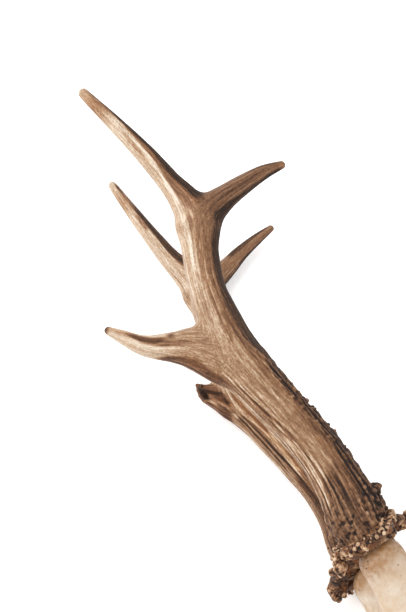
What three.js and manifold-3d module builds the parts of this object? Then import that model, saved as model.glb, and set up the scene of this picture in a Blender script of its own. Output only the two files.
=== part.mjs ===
// A pair of roe deer antlers on a sawn skull cap, lying on its side.
//
// Lengths are millimetres. The pieces are shaped in the head's own frame: x towards the back of the head,
// y up along the antlers, z towards the deer's left, with the origin midway between the two burrs. The
// last group lays the pair down on its right antler, and puts the middle of its footprint at the origin.

import * as THREE from "three";
import { mergeVertices } from "three/addons/utils/BufferGeometryUtils.js";
import Module from "manifold-3d";

const wasm = await Module();
wasm.setup();

// Antlers. A route's rows are [back, up, left, width front to back, thickness left to right]. A fork is the
// plane where a branch is divided off, with how broad and how long the branch may be beyond it. A knob's
// row is its centre and its radius. The spur is placed by its distance up the main route and its angle
// round it from the back, in degrees.
const left = {
  name: "left",
  burr: [-0.5, -2.5, 26.3],
  main: [
    [0.3, -7, 24.8, 23.5, 23],
    [0, 6, 28.3, 26.6, 25],
    [0.9, 22, 31.2, 22.3, 21],
    [0.2, 39, 33.6, 20.4, 19.5],
    [-3.2, 58, 35.8, 20.4, 19],
    [-7.2, 78, 37.3, 22.2, 19],
    [-10, 96, 38.5, 22.6, 18.5],
    [-8, 114, 39.7, 19.8, 16.5],
    [-4.8, 130, 41, 16.4, 14.5],
    [0.3, 144, 42.3, 16.8, 14],
    [6, 157, 43.7, 18.3, 13],
    [6.8, 168, 44.8, 15.3, 12],
    [4.9, 181, 46.1, 10.9, 10],
    [1.8, 198, 48, 9.4, 8.8],
    [-3.4, 219, 50.3, 7.2, 6.8],
    [-7.6, 234.5, 51.8, 5.4, 5.2],
    [-8.9, 240, 52.3, 4.6, 4.4],
  ],
  front: [
    [-8, 87, 37.8, 20, 16],
    [-14.5, 96.5, 38.6, 25.4, 16.5],
    [-20.5, 103.4, 39.1, 22.6, 15.5],
    [-26, 108.2, 39.5, 19, 14],
    [-32, 112, 39.7, 14.4, 12],
    [-42.8, 119, 40, 9.8, 9],
    [-50.5, 129, 40.2, 6, 5.6],
    [-54.6, 134.8, 40.3, 3.2, 3],
  ],
  rear: [
    [4, 154.4, 43.6, 17, 12.5],
    [11, 158.8, 44.3, 17, 12.5],
    [18, 160.7, 44.7, 14.3, 11.5],
    [25, 161.9, 45, 11.4, 10],
    [35, 162.9, 45.4, 9.2, 8.4],
    [45, 163.2, 45.8, 6.9, 6.4],
    [55.5, 161.8, 46.2, 3.4, 3.2],
  ],
  forks: {
    front: { at: [-26.5, 108.6, 39.5], towards: [-0.8, 0.6, 0], breadth: 27, length: 60 },
    upper: { at: [-6.6, 121, 40.2], towards: [0.2, 0.98, 0.08], breadth: 50, length: 70 },
    top: { at: [6.4, 172, 45.1], towards: [-0.15, 0.98, 0.1], breadth: 30, length: 90 },
    rear: { at: [18, 160.7, 44.7], towards: [0.98, 0.18, 0.04], breadth: 28, length: 60 },
  },
  knobs: [
    [15.6, -3, 20, 5.4],
    [21, -4, 16.5, 5.2],
    [-17.5, -8.5, 26, 4],
  ],
  spur: { up: 24.5, angle: 8, height: 4.2, width: 4 },
};

const right = {
  name: "right",
  burr: [-0.5, -3.5, -26.5],
  main: [
    [0.3, -8, -25, 23, 22.5],
    [2, 6, -28.3, 24, 23.5],
    [4, 22, -31.2, 20.2, 19.5],
    [4.3, 37, -33.4, 19.6, 19],
    [1.8, 56, -35.6, 19.6, 18.4],
    [-1.4, 77, -37.2, 21.2, 18.4],
    [-4.2, 96, -38.5, 21.5, 18],
    [-4, 112, -39.6, 18.3, 16],
    [-1.2, 128, -40.8, 15.6, 14],
    [3.2, 144, -42.3, 15.4, 13.5],
    [6, 156, -43.6, 16.8, 12.8],
    [4.8, 168, -44.8, 14.6, 11.6],
    [2, 180, -46, 10.7, 9.8],
    [0, 197, -47.9, 8.5, 8],
    [-1.8, 218, -50.3, 6.3, 6],
    [-2.7, 231.5, -51.6, 4.6, 4.4],
    [-3, 236, -52, 3.8, 3.6],
  ],
  front: [
    [-3, 86.5, -38, 17, 15],
    [-10.5, 97, -38.8, 17, 14.5],
    [-16, 103.6, -39.4, 11.6, 11.6],
    [-21, 110.6, -39.9, 8.2, 9],
    [-27, 118, -40.4, 5, 5],
  ],
  rear: [
    [3, 154, -43.5, 14, 11],
    [11, 158.2, -44.2, 13.4, 11],
    [18, 159.8, -44.6, 11.6, 10],
    [25, 161.8, -45, 9.7, 8.8],
    [34, 165, -45.4, 7.8, 7.2],
    [46, 167.9, -45.9, 5.6, 5.4],
    [56.3, 169.6, -46.2, 3.2, 3],
  ],
  forks: {
    front: { at: [-13.8, 101.4, -39], towards: [-0.66, 0.75, 0], breadth: 27, length: 60 },
    upper: { at: [-2.2, 121, -40.2], towards: [0.16, 0.98, -0.08], breadth: 50, length: 70 },
    top: { at: [4.2, 171, -45], towards: [-0.2, 0.97, -0.1], breadth: 30, length: 90 },
    rear: { at: [17, 159.8, -44.6], towards: [0.97, 0.24, -0.04], breadth: 28, length: 60 },
  },
  knobs: [
    [-16, -10.5, -29, 5.4],
    [15.2, -3.8, -19.5, 4.2],
    [-8.6, -9.5, -41.2, 3.4],
    [8.2, -8.5, -41.6, 3.4],
  ],
  spur: { up: 20, angle: -30, height: 3, width: 3.6 },
  broken: { at: [-20.2, 109, -40.4], towards: [-0.72, 0.1, 0.68], breadth: 30, length: 40 },
};

const mainSides = 24;
const tineSides = 12;
const ringStep = 10;
const tipAngles = [0, 40, 70];

// Long ridges of the lower beam, highest in front, dying out above the first fork.
const ridgeEvery = 4;
const ridgeDepth = 0.9;
const ridgeUnevenness = 0.3;
const ridgeStart = 8;
const ridgeFull = 20;
const ridgeFade = 74;
const ridgeEnd = 104;

// Burr: a rounded collar with a crown of lumps, leaning outwards and a little forwards.
const burrLean = { forward: 0.16, outward: 0.32 };
const collarProfile = [
  [0, -4.6],
  [12.4, -4.6],
  [15.6, -3],
  [16.4, 0],
  [15, 2.8],
  [12.6, 4.8],
  [0, 5.4],
];
const collarSides = 16;
const crownCount = 14;
const crownRadius = 15.45;
const crownRadiusSpread = 0.9;
const crownSize = 3.1;
const crownRise = -0.5;
const crownRiseSpread = 5;
const crownStretch = 1.15;

// Pearls: small lumps on the back of the lower beam.
const pearlCount = 8;
const pearlStart = 14;
const pearlEnd = 66;
const pearlSpread = 62;
const pearlSize = 1.7;
const pearlSunk = 0.3;
const pearlStretch = 1.4;

// Spur: its root starts this deep in the beam, and its lump's middle is at this share of its length.
const spurRoot = 1.5;
const spurMiddle = 0.42;

// Skull cap: a vault of frontal bone, sawn flat, with a pedicle under each burr. Profiles hold the share of
// the outline's reach and the height over the saw cut; a higher bluntness squares the outline's corners.
const sawnLevel = -66;
const capOutline = { middle: 0, front: 36, back: 40, side: 32, frontBluntness: 3.2, backBluntness: 2.3 };
const vaultProfile = [
  [0.01, 22.6],
  [0.36, 21.8],
  [0.62, 19.6],
  [0.82, 15.4],
  [0.94, 9],
  [1, 0],
];
const hollowOutline = { middle: 9, front: 23, back: 23, side: 21, frontBluntness: 2.4, backBluntness: 2.2 };
const hollowProfile = [
  [1, 0],
  [0.94, 5],
  [0.72, 9.6],
  [0.36, 12.2],
  [0.01, 12.8],
];
const vaultSides = 24;
const pedicleSides = 18;
const pedicleDrop = 5;
const pedicle = [
  [0.6, -50, 19.5, 29, 25],
  [0.6, -41, 20.8, 25, 22.5],
  [0.3, -31, 22.2, 22, 21],
  [0.3, -17, 24, 21, 20.5],
];
const pedicleTop = [22.4, 22];

const gap = 0.3;
const cutDepth = 60;

// How the pair lies: turned about the antlers' length, then about the head's front to back line.
const lieRoll = -1.23;
const liePitch = 2.19;

const up = new THREE.Vector3(0, 1, 0);
const outToLeft = new THREE.Vector3(0, 0, 1);

const vector = (row) => new THREE.Vector3(row[0], row[1], row[2]);

// Evenly scattered numbers from 0 to 1, the same on every run.
const scatter = (i, step) => (i * step + 0.37) % 1;

function solid(geometry) {
  geometry.deleteAttribute("normal");
  geometry.deleteAttribute("uv");
  const merged = mergeVertices(geometry, 1e-4);
  return new wasm.Manifold(
    new wasm.Mesh({
      numProp: 3,
      vertProperties: merged.attributes.position.array,
      triVerts: Uint32Array.from(merged.index.array),
    }),
  );
}

function meshOf(name, shape, material) {
  const { vertProperties, triVerts } = shape.getMesh();
  const geometry = new THREE.BufferGeometry();
  geometry.setAttribute("position", new THREE.BufferAttribute(vertProperties, 3));
  geometry.setIndex(new THREE.BufferAttribute(triVerts, 1));
  geometry.computeVertexNormals();
  const mesh = new THREE.Mesh(geometry, material);
  mesh.name = name;
  return mesh;
}

// A route as smooth curves: its centre line, and its width and thickness at the same parameter.
function smoothRoute(rows) {
  const centre = new THREE.CatmullRomCurve3(rows.map(vector));
  const size = new THREE.CatmullRomCurve3(rows.map((row) => new THREE.Vector3(row[3], row[4], 0)));
  centre.arcLengthDivisions = 400;
  return { centre, size, length: centre.getLength() };
}

// The section at a distance along the route: its centre, its two half axes and its direction.
function sectionAt(route, distance, direction) {
  const t = route.centre.getUtoTmapping(0, distance);
  const size = route.size.getPoint(t);
  const along = direction ?? route.centre.getTangent(t).normalize();
  const back = new THREE.Vector3().crossVectors(along, outToLeft).normalize();
  const side = new THREE.Vector3().crossVectors(back, along);
  return {
    centre: route.centre.getPoint(t),
    along,
    back: back.multiplyScalar(size.x / 2),
    side: side.multiplyScalar(size.y / 2),
  };
}

function pointOn(section, angle, scale, raised) {
  const radial = new THREE.Vector3()
    .addScaledVector(section.back, Math.cos(angle))
    .addScaledVector(section.side, Math.sin(angle));
  const reach = radial.length();
  return section.centre.clone().addScaledVector(radial, scale * (1 + raised / reach));
}

// A closed rod along a route, with a flat foot and a rounded or flat end. relief gives how far each
// corner stands proud, from its number and its distance along.
function rod(rows, { sides, relief = () => 0, foot, flatEnd = false }) {
  const route = smoothRoute(rows);
  const endSize = route.size.getPoint(1);
  const endRadius = flatEnd ? 0 : endSize.x / 2;
  const shaft = route.length - endRadius;
  const count = Math.max(3, Math.round(shaft / ringStep));
  const stations = Array.from({ length: count }, (_, i) => ({ distance: (shaft * i) / count, scale: 1 }));
  for (const degrees of flatEnd ? [0] : tipAngles) {
    const angle = THREE.MathUtils.degToRad(degrees);
    stations.push({ distance: shaft + endRadius * Math.sin(angle), scale: Math.cos(angle) });
  }
  const positions = [];
  stations.forEach(({ distance, scale }, i) => {
    const section = sectionAt(route, distance, i === 0 ? foot : undefined);
    for (let corner = 0; corner < sides; corner += 1) {
      const angle = (2 * Math.PI * corner) / sides;
      positions.push(...pointOn(section, angle, scale, relief(corner, distance)).toArray());
    }
  });
  const footCentre = positions.length / 3;
  positions.push(...route.centre.getPoint(0).toArray(), ...route.centre.getPoint(1).toArray());
  const faces = [];
  const last = (stations.length - 1) * sides;
  for (let corner = 0; corner < sides; corner += 1) {
    const next = (corner + 1) % sides;
    faces.push(footCentre, corner, next, footCentre + 1, last + next, last + corner);
    for (let ring = 0; ring < last; ring += sides) {
      const [a, b, c, d] = [ring + corner, ring + next, ring + sides + next, ring + sides + corner];
      faces.push(a, c, b, a, d, c);
    }
  }
  const geometry = new THREE.BufferGeometry();
  geometry.setAttribute("position", new THREE.Float32BufferAttribute(positions, 3));
  geometry.setIndex(faces);
  return solid(geometry);
}

// A rounded lump, stretched along a direction.
function lump(centre, size, direction = up, stretch = 1) {
  const geometry = new THREE.OctahedronGeometry(size, 1);
  geometry.scale(1, stretch, 1);
  geometry.applyQuaternion(new THREE.Quaternion().setFromUnitVectors(up, direction));
  geometry.translate(centre.x, centre.y, centre.z);
  return solid(geometry);
}

// A block that stands on a plane and reaches away from it, for cutting a branch off there. It may start
// a little early, before the plane.
function block({ at, towards, breadth, length }, early = 0) {
  const direction = vector(towards).normalize();
  const geometry = new THREE.BoxGeometry(breadth, length + early, cutDepth);
  geometry.translate(0, (length - early) / 2, 0);
  geometry.applyQuaternion(new THREE.Quaternion().setFromUnitVectors(up, direction));
  geometry.translate(at[0], at[1], at[2]);
  return solid(geometry);
}

function burrAxis(antler) {
  const outward = Math.sign(antler.burr[2]) * burrLean.outward;
  return new THREE.Vector3(-burrLean.forward, 1, outward).normalize();
}

// The collar at the antler's base and the crown of lumps on it.
function burr(antler) {
  const centre = vector(antler.burr);
  const axis = burrAxis(antler);
  const turn = new THREE.Quaternion().setFromUnitVectors(up, axis);
  const profile = collarProfile.map(([radius, height]) => new THREE.Vector2(radius, height));
  const collar = new THREE.LatheGeometry(profile, collarSides);
  collar.applyQuaternion(turn);
  collar.translate(centre.x, centre.y, centre.z);
  const crown = Array.from({ length: crownCount }, (_, i) => {
    const angle = ((i + 0.5 * scatter(i, 0.618)) * 2 * Math.PI) / crownCount;
    const radius = crownRadius + crownRadiusSpread * (scatter(i, 0.414) - 0.5);
    const height = crownRise + crownRiseSpread * (scatter(i, 0.732) - 0.5);
    const place = new THREE.Vector3(radius * Math.cos(angle), height, radius * Math.sin(angle));
    place.applyQuaternion(turn).add(centre);
    return lump(place, crownSize * (0.8 + 0.35 * scatter(i, 0.55)), axis, crownStretch);
  });
  const knobs = antler.knobs.map((row) => lump(vector(row), row[3], axis));
  return [solid(collar), ...crown, ...knobs];
}

function ridges(corner, distance) {
  const rise = THREE.MathUtils.smoothstep(distance, ridgeStart, ridgeFull);
  const fall = 1 - THREE.MathUtils.smoothstep(distance, ridgeFade, ridgeEnd);
  const height = Math.cos((2 * Math.PI * corner) / ridgeEvery);
  const fromFront = (2 * Math.PI * corner) / mainSides - Math.PI;
  const uneven = 1 - ridgeUnevenness * (1 - Math.cos(fromFront));
  return ridgeDepth * height * uneven * rise * fall;
}

// Small lumps down the back of the lower beam, and the one spur there.
function pearls(antler) {
  const route = smoothRoute(antler.main);
  const place = (distance, degrees, raised) =>
    pointOn(sectionAt(route, distance), THREE.MathUtils.degToRad(degrees), 1, raised);
  const lumps = Array.from({ length: pearlCount }, (_, i) => {
    const distance = pearlStart + (pearlEnd - pearlStart) * scatter(i, 0.618);
    const degrees = pearlSpread * (2 * scatter(i, 0.444) - 1);
    const size = pearlSize * (0.75 + 0.5 * scatter(i, 0.31));
    return lump(place(distance, degrees, -pearlSunk), size, up, pearlStretch);
  });
  const { up: height, angle, height: reach, width } = antler.spur;
  const foot = place(height, angle, -spurRoot);
  const tip = place(height, angle, reach);
  const lean = tip.clone().sub(foot);
  const middle = foot.clone().addScaledVector(lean, spurMiddle);
  lumps.push(lump(middle, width / 2, lean.clone().normalize(), lean.length() / width));
  return lumps;
}

function wholeAntler(antler) {
  const foot = burrAxis(antler);
  const pieces = [
    rod(antler.main, { sides: mainSides, relief: ridges, foot }),
    rod(antler.front, { sides: tineSides }),
    rod(antler.rear, { sides: tineSides }),
    ...burr(antler),
    ...pearls(antler),
  ];
  const whole = wasm.Manifold.union(pieces);
  if (!antler.broken) return whole;
  return whole.subtract(block(antler.broken));
}

// Takes one branch off beyond a fork's plane, and leaves a hairline gap between the two.
function takeBranch(shape, fork) {
  return [shape.intersect(block(fork)), shape.subtract(block(fork, gap))];
}

function splitAntler(antler) {
  const { front, upper, top, rear } = antler.forks;
  const whole = wholeAntler(antler);
  const [frontTine, withoutFront] = takeBranch(whole, front);
  const [topTine, withoutTop] = takeBranch(withoutFront, top);
  const [rearTine, withoutRear] = takeBranch(withoutTop, rear);
  const [upperBeam, lowerBeam] = takeBranch(withoutRear, upper);
  return {
    lower_beam: lowerBeam,
    front_tine: frontTine,
    upper_beam: upperBeam,
    top_tine: topTine,
    rear_tine: rearTine,
  };
}

// A point of the unit circle, moved out to an outline that has blunt corners.
function onOutline(x, z, outline) {
  const reach = Math.hypot(x, z);
  const [along, across] = [Math.abs(x / reach), Math.abs(z / reach)];
  const bluntness = x < 0 ? outline.frontBluntness : outline.backBluntness;
  const corner = (along ** bluntness + across ** bluntness) ** (-1 / bluntness);
  return [outline.middle + (x < 0 ? outline.front : outline.back) * corner * x, outline.side * corner * z];
}

// The cap's vault with the hollow under it: one lathe, its two walls bent to their own outlines.
function vault() {
  const rings = [[0, vaultProfile[0][1]], ...vaultProfile, ...hollowProfile, [0, hollowProfile.at(-1)[1]]];
  const profile = rings.reverse().map(([radius, height]) => new THREE.Vector2(radius, height));
  const geometry = new THREE.LatheGeometry(profile, vaultSides);
  const place = geometry.attributes.position;
  for (let i = 0; i < place.count; i += 1) {
    const outline = i % profile.length <= hollowProfile.length ? hollowOutline : capOutline;
    const [x, z] = [place.getX(i), place.getZ(i)];
    const [back, side] = x === 0 && z === 0 ? [outline.middle, 0] : onOutline(x, z, outline);
    place.setXYZ(i, back, sawnLevel + place.getY(i), side);
  }
  return solid(geometry);
}

function pedicleUnder(antler) {
  const side = Math.sign(antler.burr[2]);
  const axis = burrAxis(antler);
  const top = vector(antler.burr).addScaledVector(axis, -pedicleDrop - gap);
  const rows = pedicle.map(([x, y, z, width, thickness]) => [x, y, side * z, width, thickness]);
  rows.push([...top.toArray(), ...pedicleTop]);
  const shaft = rod(rows, { sides: pedicleSides, foot: up, flatEnd: true });
  const above = block({ at: top.toArray(), towards: axis.toArray(), breadth: 50, length: 20 });
  return shaft.subtract(above);
}

function skullCap() {
  return wasm.Manifold.union([vault(), pedicleUnder(left), pedicleUnder(right)]);
}

const colours = {
  beam: new THREE.MeshStandardMaterial({ color: 0x8a6a4c, roughness: 0.6, metalness: 0 }),
  tine: new THREE.MeshStandardMaterial({ color: 0xb08f68, roughness: 0.42, metalness: 0 }),
  bone: new THREE.MeshStandardMaterial({ color: 0xdcc6a4, roughness: 0.68, metalness: 0 }),
};

const head = new THREE.Group();
head.add(meshOf("skull_cap", skullCap(), colours.bone));
for (const antler of [left, right]) {
  for (const [piece, shape] of Object.entries(splitAntler(antler))) {
    const colour = piece.endsWith("tine") ? colours.tine : colours.beam;
    head.add(meshOf(`${antler.name}_${piece}`, shape, colour));
  }
}

head.rotation.set(THREE.MathUtils.degToRad(liePitch), THREE.MathUtils.degToRad(lieRoll), 0);
head.updateMatrixWorld(true);
const box = new THREE.Box3().setFromObject(head, true);
const middle = box.getCenter(new THREE.Vector3());
head.position.set(-middle.x, -middle.y, -box.min.z);

const pair = new THREE.Group();
pair.add(head);

export default pair;
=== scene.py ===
# The looks of a pair of roe deer antlers on a sawn skull cap, lying on its right antler.
#
# Shapes are worked out in millimetres in the head's own frame: x towards the back of the head, y up along
# the antlers, z towards the deer's left, with the origin midway between the burrs. Each finished mesh is
# then turned and moved to where the pair lies, and is stored in metres.

import itertools
import math

import bpy
import numpy as np
from bpy.props import FloatProperty, FloatVectorProperty, IntProperty, PointerProperty
from mathutils import Matrix, Vector


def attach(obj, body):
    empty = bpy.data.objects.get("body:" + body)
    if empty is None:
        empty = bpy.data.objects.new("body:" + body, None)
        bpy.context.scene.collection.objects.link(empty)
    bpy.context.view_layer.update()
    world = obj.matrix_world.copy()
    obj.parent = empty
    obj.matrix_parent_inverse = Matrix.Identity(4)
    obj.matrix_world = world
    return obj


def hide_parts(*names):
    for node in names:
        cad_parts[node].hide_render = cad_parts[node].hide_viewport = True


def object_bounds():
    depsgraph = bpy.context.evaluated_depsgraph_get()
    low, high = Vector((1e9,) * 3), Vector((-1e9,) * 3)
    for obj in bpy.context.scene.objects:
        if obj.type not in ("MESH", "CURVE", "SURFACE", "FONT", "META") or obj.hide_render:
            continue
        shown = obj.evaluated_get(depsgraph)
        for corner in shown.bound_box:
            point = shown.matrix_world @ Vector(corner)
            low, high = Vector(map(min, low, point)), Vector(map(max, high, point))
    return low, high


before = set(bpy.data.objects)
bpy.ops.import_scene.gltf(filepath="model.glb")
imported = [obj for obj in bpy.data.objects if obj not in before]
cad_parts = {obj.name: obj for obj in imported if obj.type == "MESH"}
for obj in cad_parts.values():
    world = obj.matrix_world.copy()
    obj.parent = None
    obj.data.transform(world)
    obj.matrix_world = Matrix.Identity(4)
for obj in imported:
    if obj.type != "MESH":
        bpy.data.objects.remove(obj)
CAD_BOX = [list(corner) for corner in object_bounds()]

bl_info = {
    "name": "Roe Deer Antlers",
    "version": (1, 0, 0),
    "blender": (4, 5, 0),
    "location": "3D View > Sidebar > Antlers",
    "description": "Makes a pair of roe deer antlers on a sawn skull cap",
    "category": "Add Mesh",
}

MILLIMETRE = 0.001

# How the head lies: its turns in degrees and where its origin comes to, in millimetres.
LIE_ROLL = -1.23
LIE_PITCH = 2.19
HEAD_PLACE = (-0.541, -85.364, 44.994)

# The two antlers. burr is the middle of the burr, and ring tells how thick its collar is. A row of main, front
# and rear, the routes of the beam and of its two tines, is (back, up, left, width front to back, thickness
# left to right). A knob of the burr is (back, up, left, radius). The spur has its distance up the beam, its
# angle round it from the back in degrees, its height and its width. A broken tine has the place and the
# direction of its end, and the middle, axes and half lengths of the hollow that is torn out of its side.
LEFT = {
    "name": "left",
    "burr": (-0.5, -2.5, 26.3),
    "ring": 2.3,
    "main": [
        (0.3, -7, 24.8, 23.5, 23),
        (0, 6, 28.3, 26.6, 25),
        (0.9, 22, 31.2, 22.3, 21),
        (0.2, 39, 33.6, 20.4, 19.5),
        (-3.2, 58, 35.8, 20.4, 19),
        (-7.2, 78, 37.3, 22.2, 19),
        (-10, 96, 38.5, 22.6, 18.5),
        (-8, 114, 39.7, 19.8, 16.5),
        (-4.8, 130, 41, 16.4, 14.5),
        (0.3, 144, 42.3, 16.8, 14),
        (6, 157, 43.7, 18.3, 13),
        (6.8, 168, 44.8, 15.3, 12),
        (4.9, 181, 46.1, 10.9, 10),
        (1.8, 198, 48, 9.4, 8.8),
        (-3.4, 219, 50.3, 7.2, 6.8),
        (-7.6, 234.5, 51.8, 5.4, 5.2),
        (-8.9, 240, 52.3, 4.6, 4.4),
    ],
    "front": [
        (-8, 87, 37.8, 20, 16),
        (-14.5, 96.5, 38.6, 25.4, 16.5),
        (-20.5, 103.4, 39.1, 22.6, 15.5),
        (-26, 108.2, 39.5, 19, 14),
        (-32, 112, 39.7, 14.4, 12),
        (-42.8, 119, 40, 9.8, 9),
        (-50.5, 129, 40.2, 6, 5.6),
        (-54.6, 134.8, 40.3, 3.2, 3),
    ],
    "rear": [
        (4, 154.4, 43.6, 17, 12.5),
        (11, 158.8, 44.3, 17, 12.5),
        (18, 160.7, 44.7, 14.3, 11.5),
        (25, 161.9, 45, 11.4, 10),
        (35, 162.9, 45.4, 9.2, 8.4),
        (45, 163.2, 45.8, 6.9, 6.4),
        (55.5, 161.8, 46.2, 3.4, 3.2),
    ],
    "knobs": [
        (15.6, -3, 20, 5.4),
        (21, -4, 16.5, 5.2),
        (-17.5, -8.5, 26, 4),
        (-17.2, -3.6, 27.5, 3),
        (-13.4, -4.6, 33.5, 2.8),
        (13.2, 0.2, 23, 3.8),
        (11.5, -1, 28.6, 3),
    ],
    "spur": {"up": 22.6, "angle": 8, "height": 2.7, "width": 4.2},
    "broken": None,
}
RIGHT = {
    "name": "right",
    "burr": (-0.5, -3.5, -26.5),
    "ring": 3.3,
    "main": [
        (0.3, -8, -25, 23, 22.5),
        (2, 6, -28.3, 24, 23.5),
        (4, 22, -31.2, 20.2, 19.5),
        (4.3, 37, -33.4, 19.6, 19),
        (1.8, 56, -35.6, 19.6, 18.4),
        (-1.4, 77, -37.2, 21.2, 18.4),
        (-4.2, 96, -38.5, 21.5, 18),
        (-4, 112, -39.6, 18.3, 16),
        (-1.2, 128, -40.8, 15.6, 14),
        (3.2, 144, -42.3, 15.4, 13.5),
        (6, 156, -43.6, 16.8, 12.8),
        (4.8, 168, -44.8, 14.6, 11.6),
        (2, 180, -46, 10.7, 9.8),
        (0, 197, -47.9, 8.5, 8),
        (-1.8, 218, -50.3, 6.3, 6),
        (-2.7, 231.5, -51.6, 4.6, 4.4),
        (-3, 236, -52, 3.8, 3.6),
    ],
    "front": [
        (-3, 86.5, -38, 17, 15),
        (-10.5, 97, -38.8, 17, 14.5),
        (-16, 103.6, -39.4, 11.6, 11.6),
        (-21.3, 110.1, -40.1, 7.6, 9),
        (-27, 117, -40.4, 5, 5),
    ],
    "rear": [
        (3, 154, -43.5, 14, 11),
        (11, 158.2, -44.2, 13.4, 11),
        (18, 159.8, -44.6, 11.6, 10),
        (25, 161.8, -45, 9.7, 8.8),
        (34, 165, -45.4, 7.8, 7.2),
        (46, 167.9, -45.9, 5.6, 5.4),
        (56.3, 169.6, -46.2, 3.2, 3),
    ],
    "knobs": [
        (-15.4, -8.2, -29, 6.6),
        (15.2, -3.8, -19.5, 4.2),
        (-8.6, -9.5, -41.2, 3.4),
        (8.2, -8.5, -41.6, 3.4),
    ],
    "spur": {"up": 20, "angle": -30, "height": 3, "width": 3.6},
    "broken": {
        "end": (-21.4, 110.8, -39.9),
        "towards": (-0.967, 0.115, 0.227),
        "hollow": (-20.8, 107.6, -37.2),
        "axes": ((0.536, -0.827, -0.177), (0.831, 0.475, 0.293), (0.158, 0.304, -0.94)),
        "sizes": (6.6, 2, 2.4),
    },
}
# Direction of a burr's axis: back, up and outwards.
BURR_LEAN = (-0.16, 1, 0.32)

# Skull cap: the saw cut's level, and the outlines and profiles of the vault and of the hollow under it. A
# profile's rows are the share of the outline's reach and the height over the saw cut. A higher bluntness
# squares an outline's corners.
SAWN_LEVEL = -66
CAP = {"middle": 0, "front": 36, "back": 40, "side": 32, "front_blunt": 3.2, "back_blunt": 2.3}
CAP_PROFILE = [(0, 22.6), (0.36, 21.8), (0.62, 19.6), (0.82, 15.4), (0.94, 9), (1, 0)]
HOLLOW = {"middle": 9, "front": 23, "back": 23, "side": 21, "front_blunt": 2.4, "back_blunt": 2.2}
HOLLOW_PROFILE = [(0, 12.8), (0.36, 12.2), (0.72, 9.6), (0.94, 5), (1, 0)]
# A pedicle's rows are a route's, for the left side. It ends a little below the burr's middle with the width
# and the thickness of its top, and has a fillet round its foot.
PEDICLE = [
    (0.6, -54, 19, 30, 26),
    (0.6, -50, 19.5, 29, 25),
    (0.6, -41, 20.8, 25, 22.5),
    (0.3, -31, 22.2, 22, 21),
    (0.3, -17, 24, 21, 20.5),
]
PEDICLE_TOP = (22.4, 22)
PEDICLE_SUNK = 1.5
PEDICLE_FILLET = 7
# Two corners of the space that holds the skull cap.
CAP_SPACE = ((-42, -69, -39), (45, -1, 39))

# Camera, in the head's frame, with its lens and film in millimetres and its nearest sight in metres.
CAMERA_PLACE = (-131.99, -109.77, 758.47)
CAMERA_FORWARD = (0.15823, 0.30358, -0.93958)
CAMERA_UP = (0.47450, 0.81111, 0.34198)
CAMERA_LENS = 99.65
FILM_HEIGHT = 36
CAMERA_NEAR = 0.05

# Lights: the setting that holds the power, the light's width, and how far right, up and towards the camera
# it stands, in metres.
LIGHTS = {
    "key": ("key_light", 1.1, -0.75, 0.6, 0.75),
    "fill": ("fill_light", 0.9, 0.8, -0.3, 0.8),
}


# Numbers and fields

# Whole numbers that stir a place's coordinates and a seed into a scattered number.
PLACE_STEPS = (73856093, 19349663, 83492791)
SEED_STEP = 2654435761
STIR = 0x45D9F3B
LOW_32_BITS = 0xFFFFFFFF
LOW_24_BITS = 0xFFFFFF
# Finer noise is moved by this much, so that its lattice doesn't line up with the coarser one.
OCTAVE_SHIFT = 17.3


def lattice(cell, seed):
    """A number from 0 to 1 for each whole-numbered place, always the same for one seed."""
    x, y, z = (cell[:, k].astype(np.int64) * PLACE_STEPS[k] for k in range(3))
    value = x ^ y ^ z ^ (seed * SEED_STEP)
    for _ in range(2):
        value = (((value >> 16) ^ value) * STIR) & LOW_32_BITS
    return ((value >> 8) & LOW_24_BITS) / LOW_24_BITS


def noise(points, seed):
    """Smooth noise from -1 to 1, one number for each point."""
    base = np.floor(points)
    part = points - base
    ease = part ** 3 * (part * (part * 6 - 15) + 10)
    total = np.zeros(len(points))
    for corner in itertools.product((0, 1), repeat=3):
        weight = np.prod(np.where(corner, ease, 1 - ease), axis=1)
        total += weight * lattice(base + corner, seed)
    return 2 * total - 1


def fractal(points, seed, octaves=3, gain=0.5):
    """Noise with ever finer noise on top, from about -1 to 1."""
    total = sum(gain ** k * noise(points * 2 ** k + OCTAVE_SHIFT * k, seed + k) for k in range(octaves))
    return total / sum(gain ** k for k in range(octaves))


def smooth(value, low, high):
    """0 below low, 1 above high and an even rise between. High may be the smaller one."""
    share = np.clip((value - low) / (high - low), 0, 1)
    return share * share * (3 - 2 * share)


def blend_fields(a, b, reach):
    """The union of two fields, with a fillet where they meet."""
    near = np.maximum(reach - np.abs(a - b), 0) / reach
    return np.minimum(a, b) - near * near * reach / 4


def unit(rows):
    return rows / np.linalg.norm(rows, axis=-1, keepdims=True)


def about_axis(points, centre, axis):
    """Each point's height along an axis through the centre, and its distance from that axis."""
    offset = points - centre
    height = offset @ axis
    return height, np.linalg.norm(offset - height[:, None] * axis, axis=1)


def line_through(points, weights):
    """A smooth line through the points, sampled at the same weights between each two of them."""
    points = np.vstack([2 * points[0] - points[1], points, 2 * points[-1] - points[-2]])
    span = np.sqrt(np.maximum(np.linalg.norm(np.diff(points, axis=0), axis=1), 1e-4))
    w = weights[:, None]
    parts = []
    for i in range(1, len(points) - 2):
        a, b, c, d = points[i - 1:i + 3]
        before, here, after = span[i - 1:i + 2]
        leave = ((b - a) / before - (c - a) / (before + here) + (c - b) / here) * here
        arrive = ((c - b) / here - (d - b) / (here + after) + (d - c) / after) * here
        parts.append(
            (2 * w ** 3 - 3 * w ** 2 + 1) * b + (w ** 3 - 2 * w ** 2 + w) * leave
            + (3 * w ** 2 - 2 * w ** 3) * c + (w ** 3 - w ** 2) * arrive
        )
    return np.vstack(parts)


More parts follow.
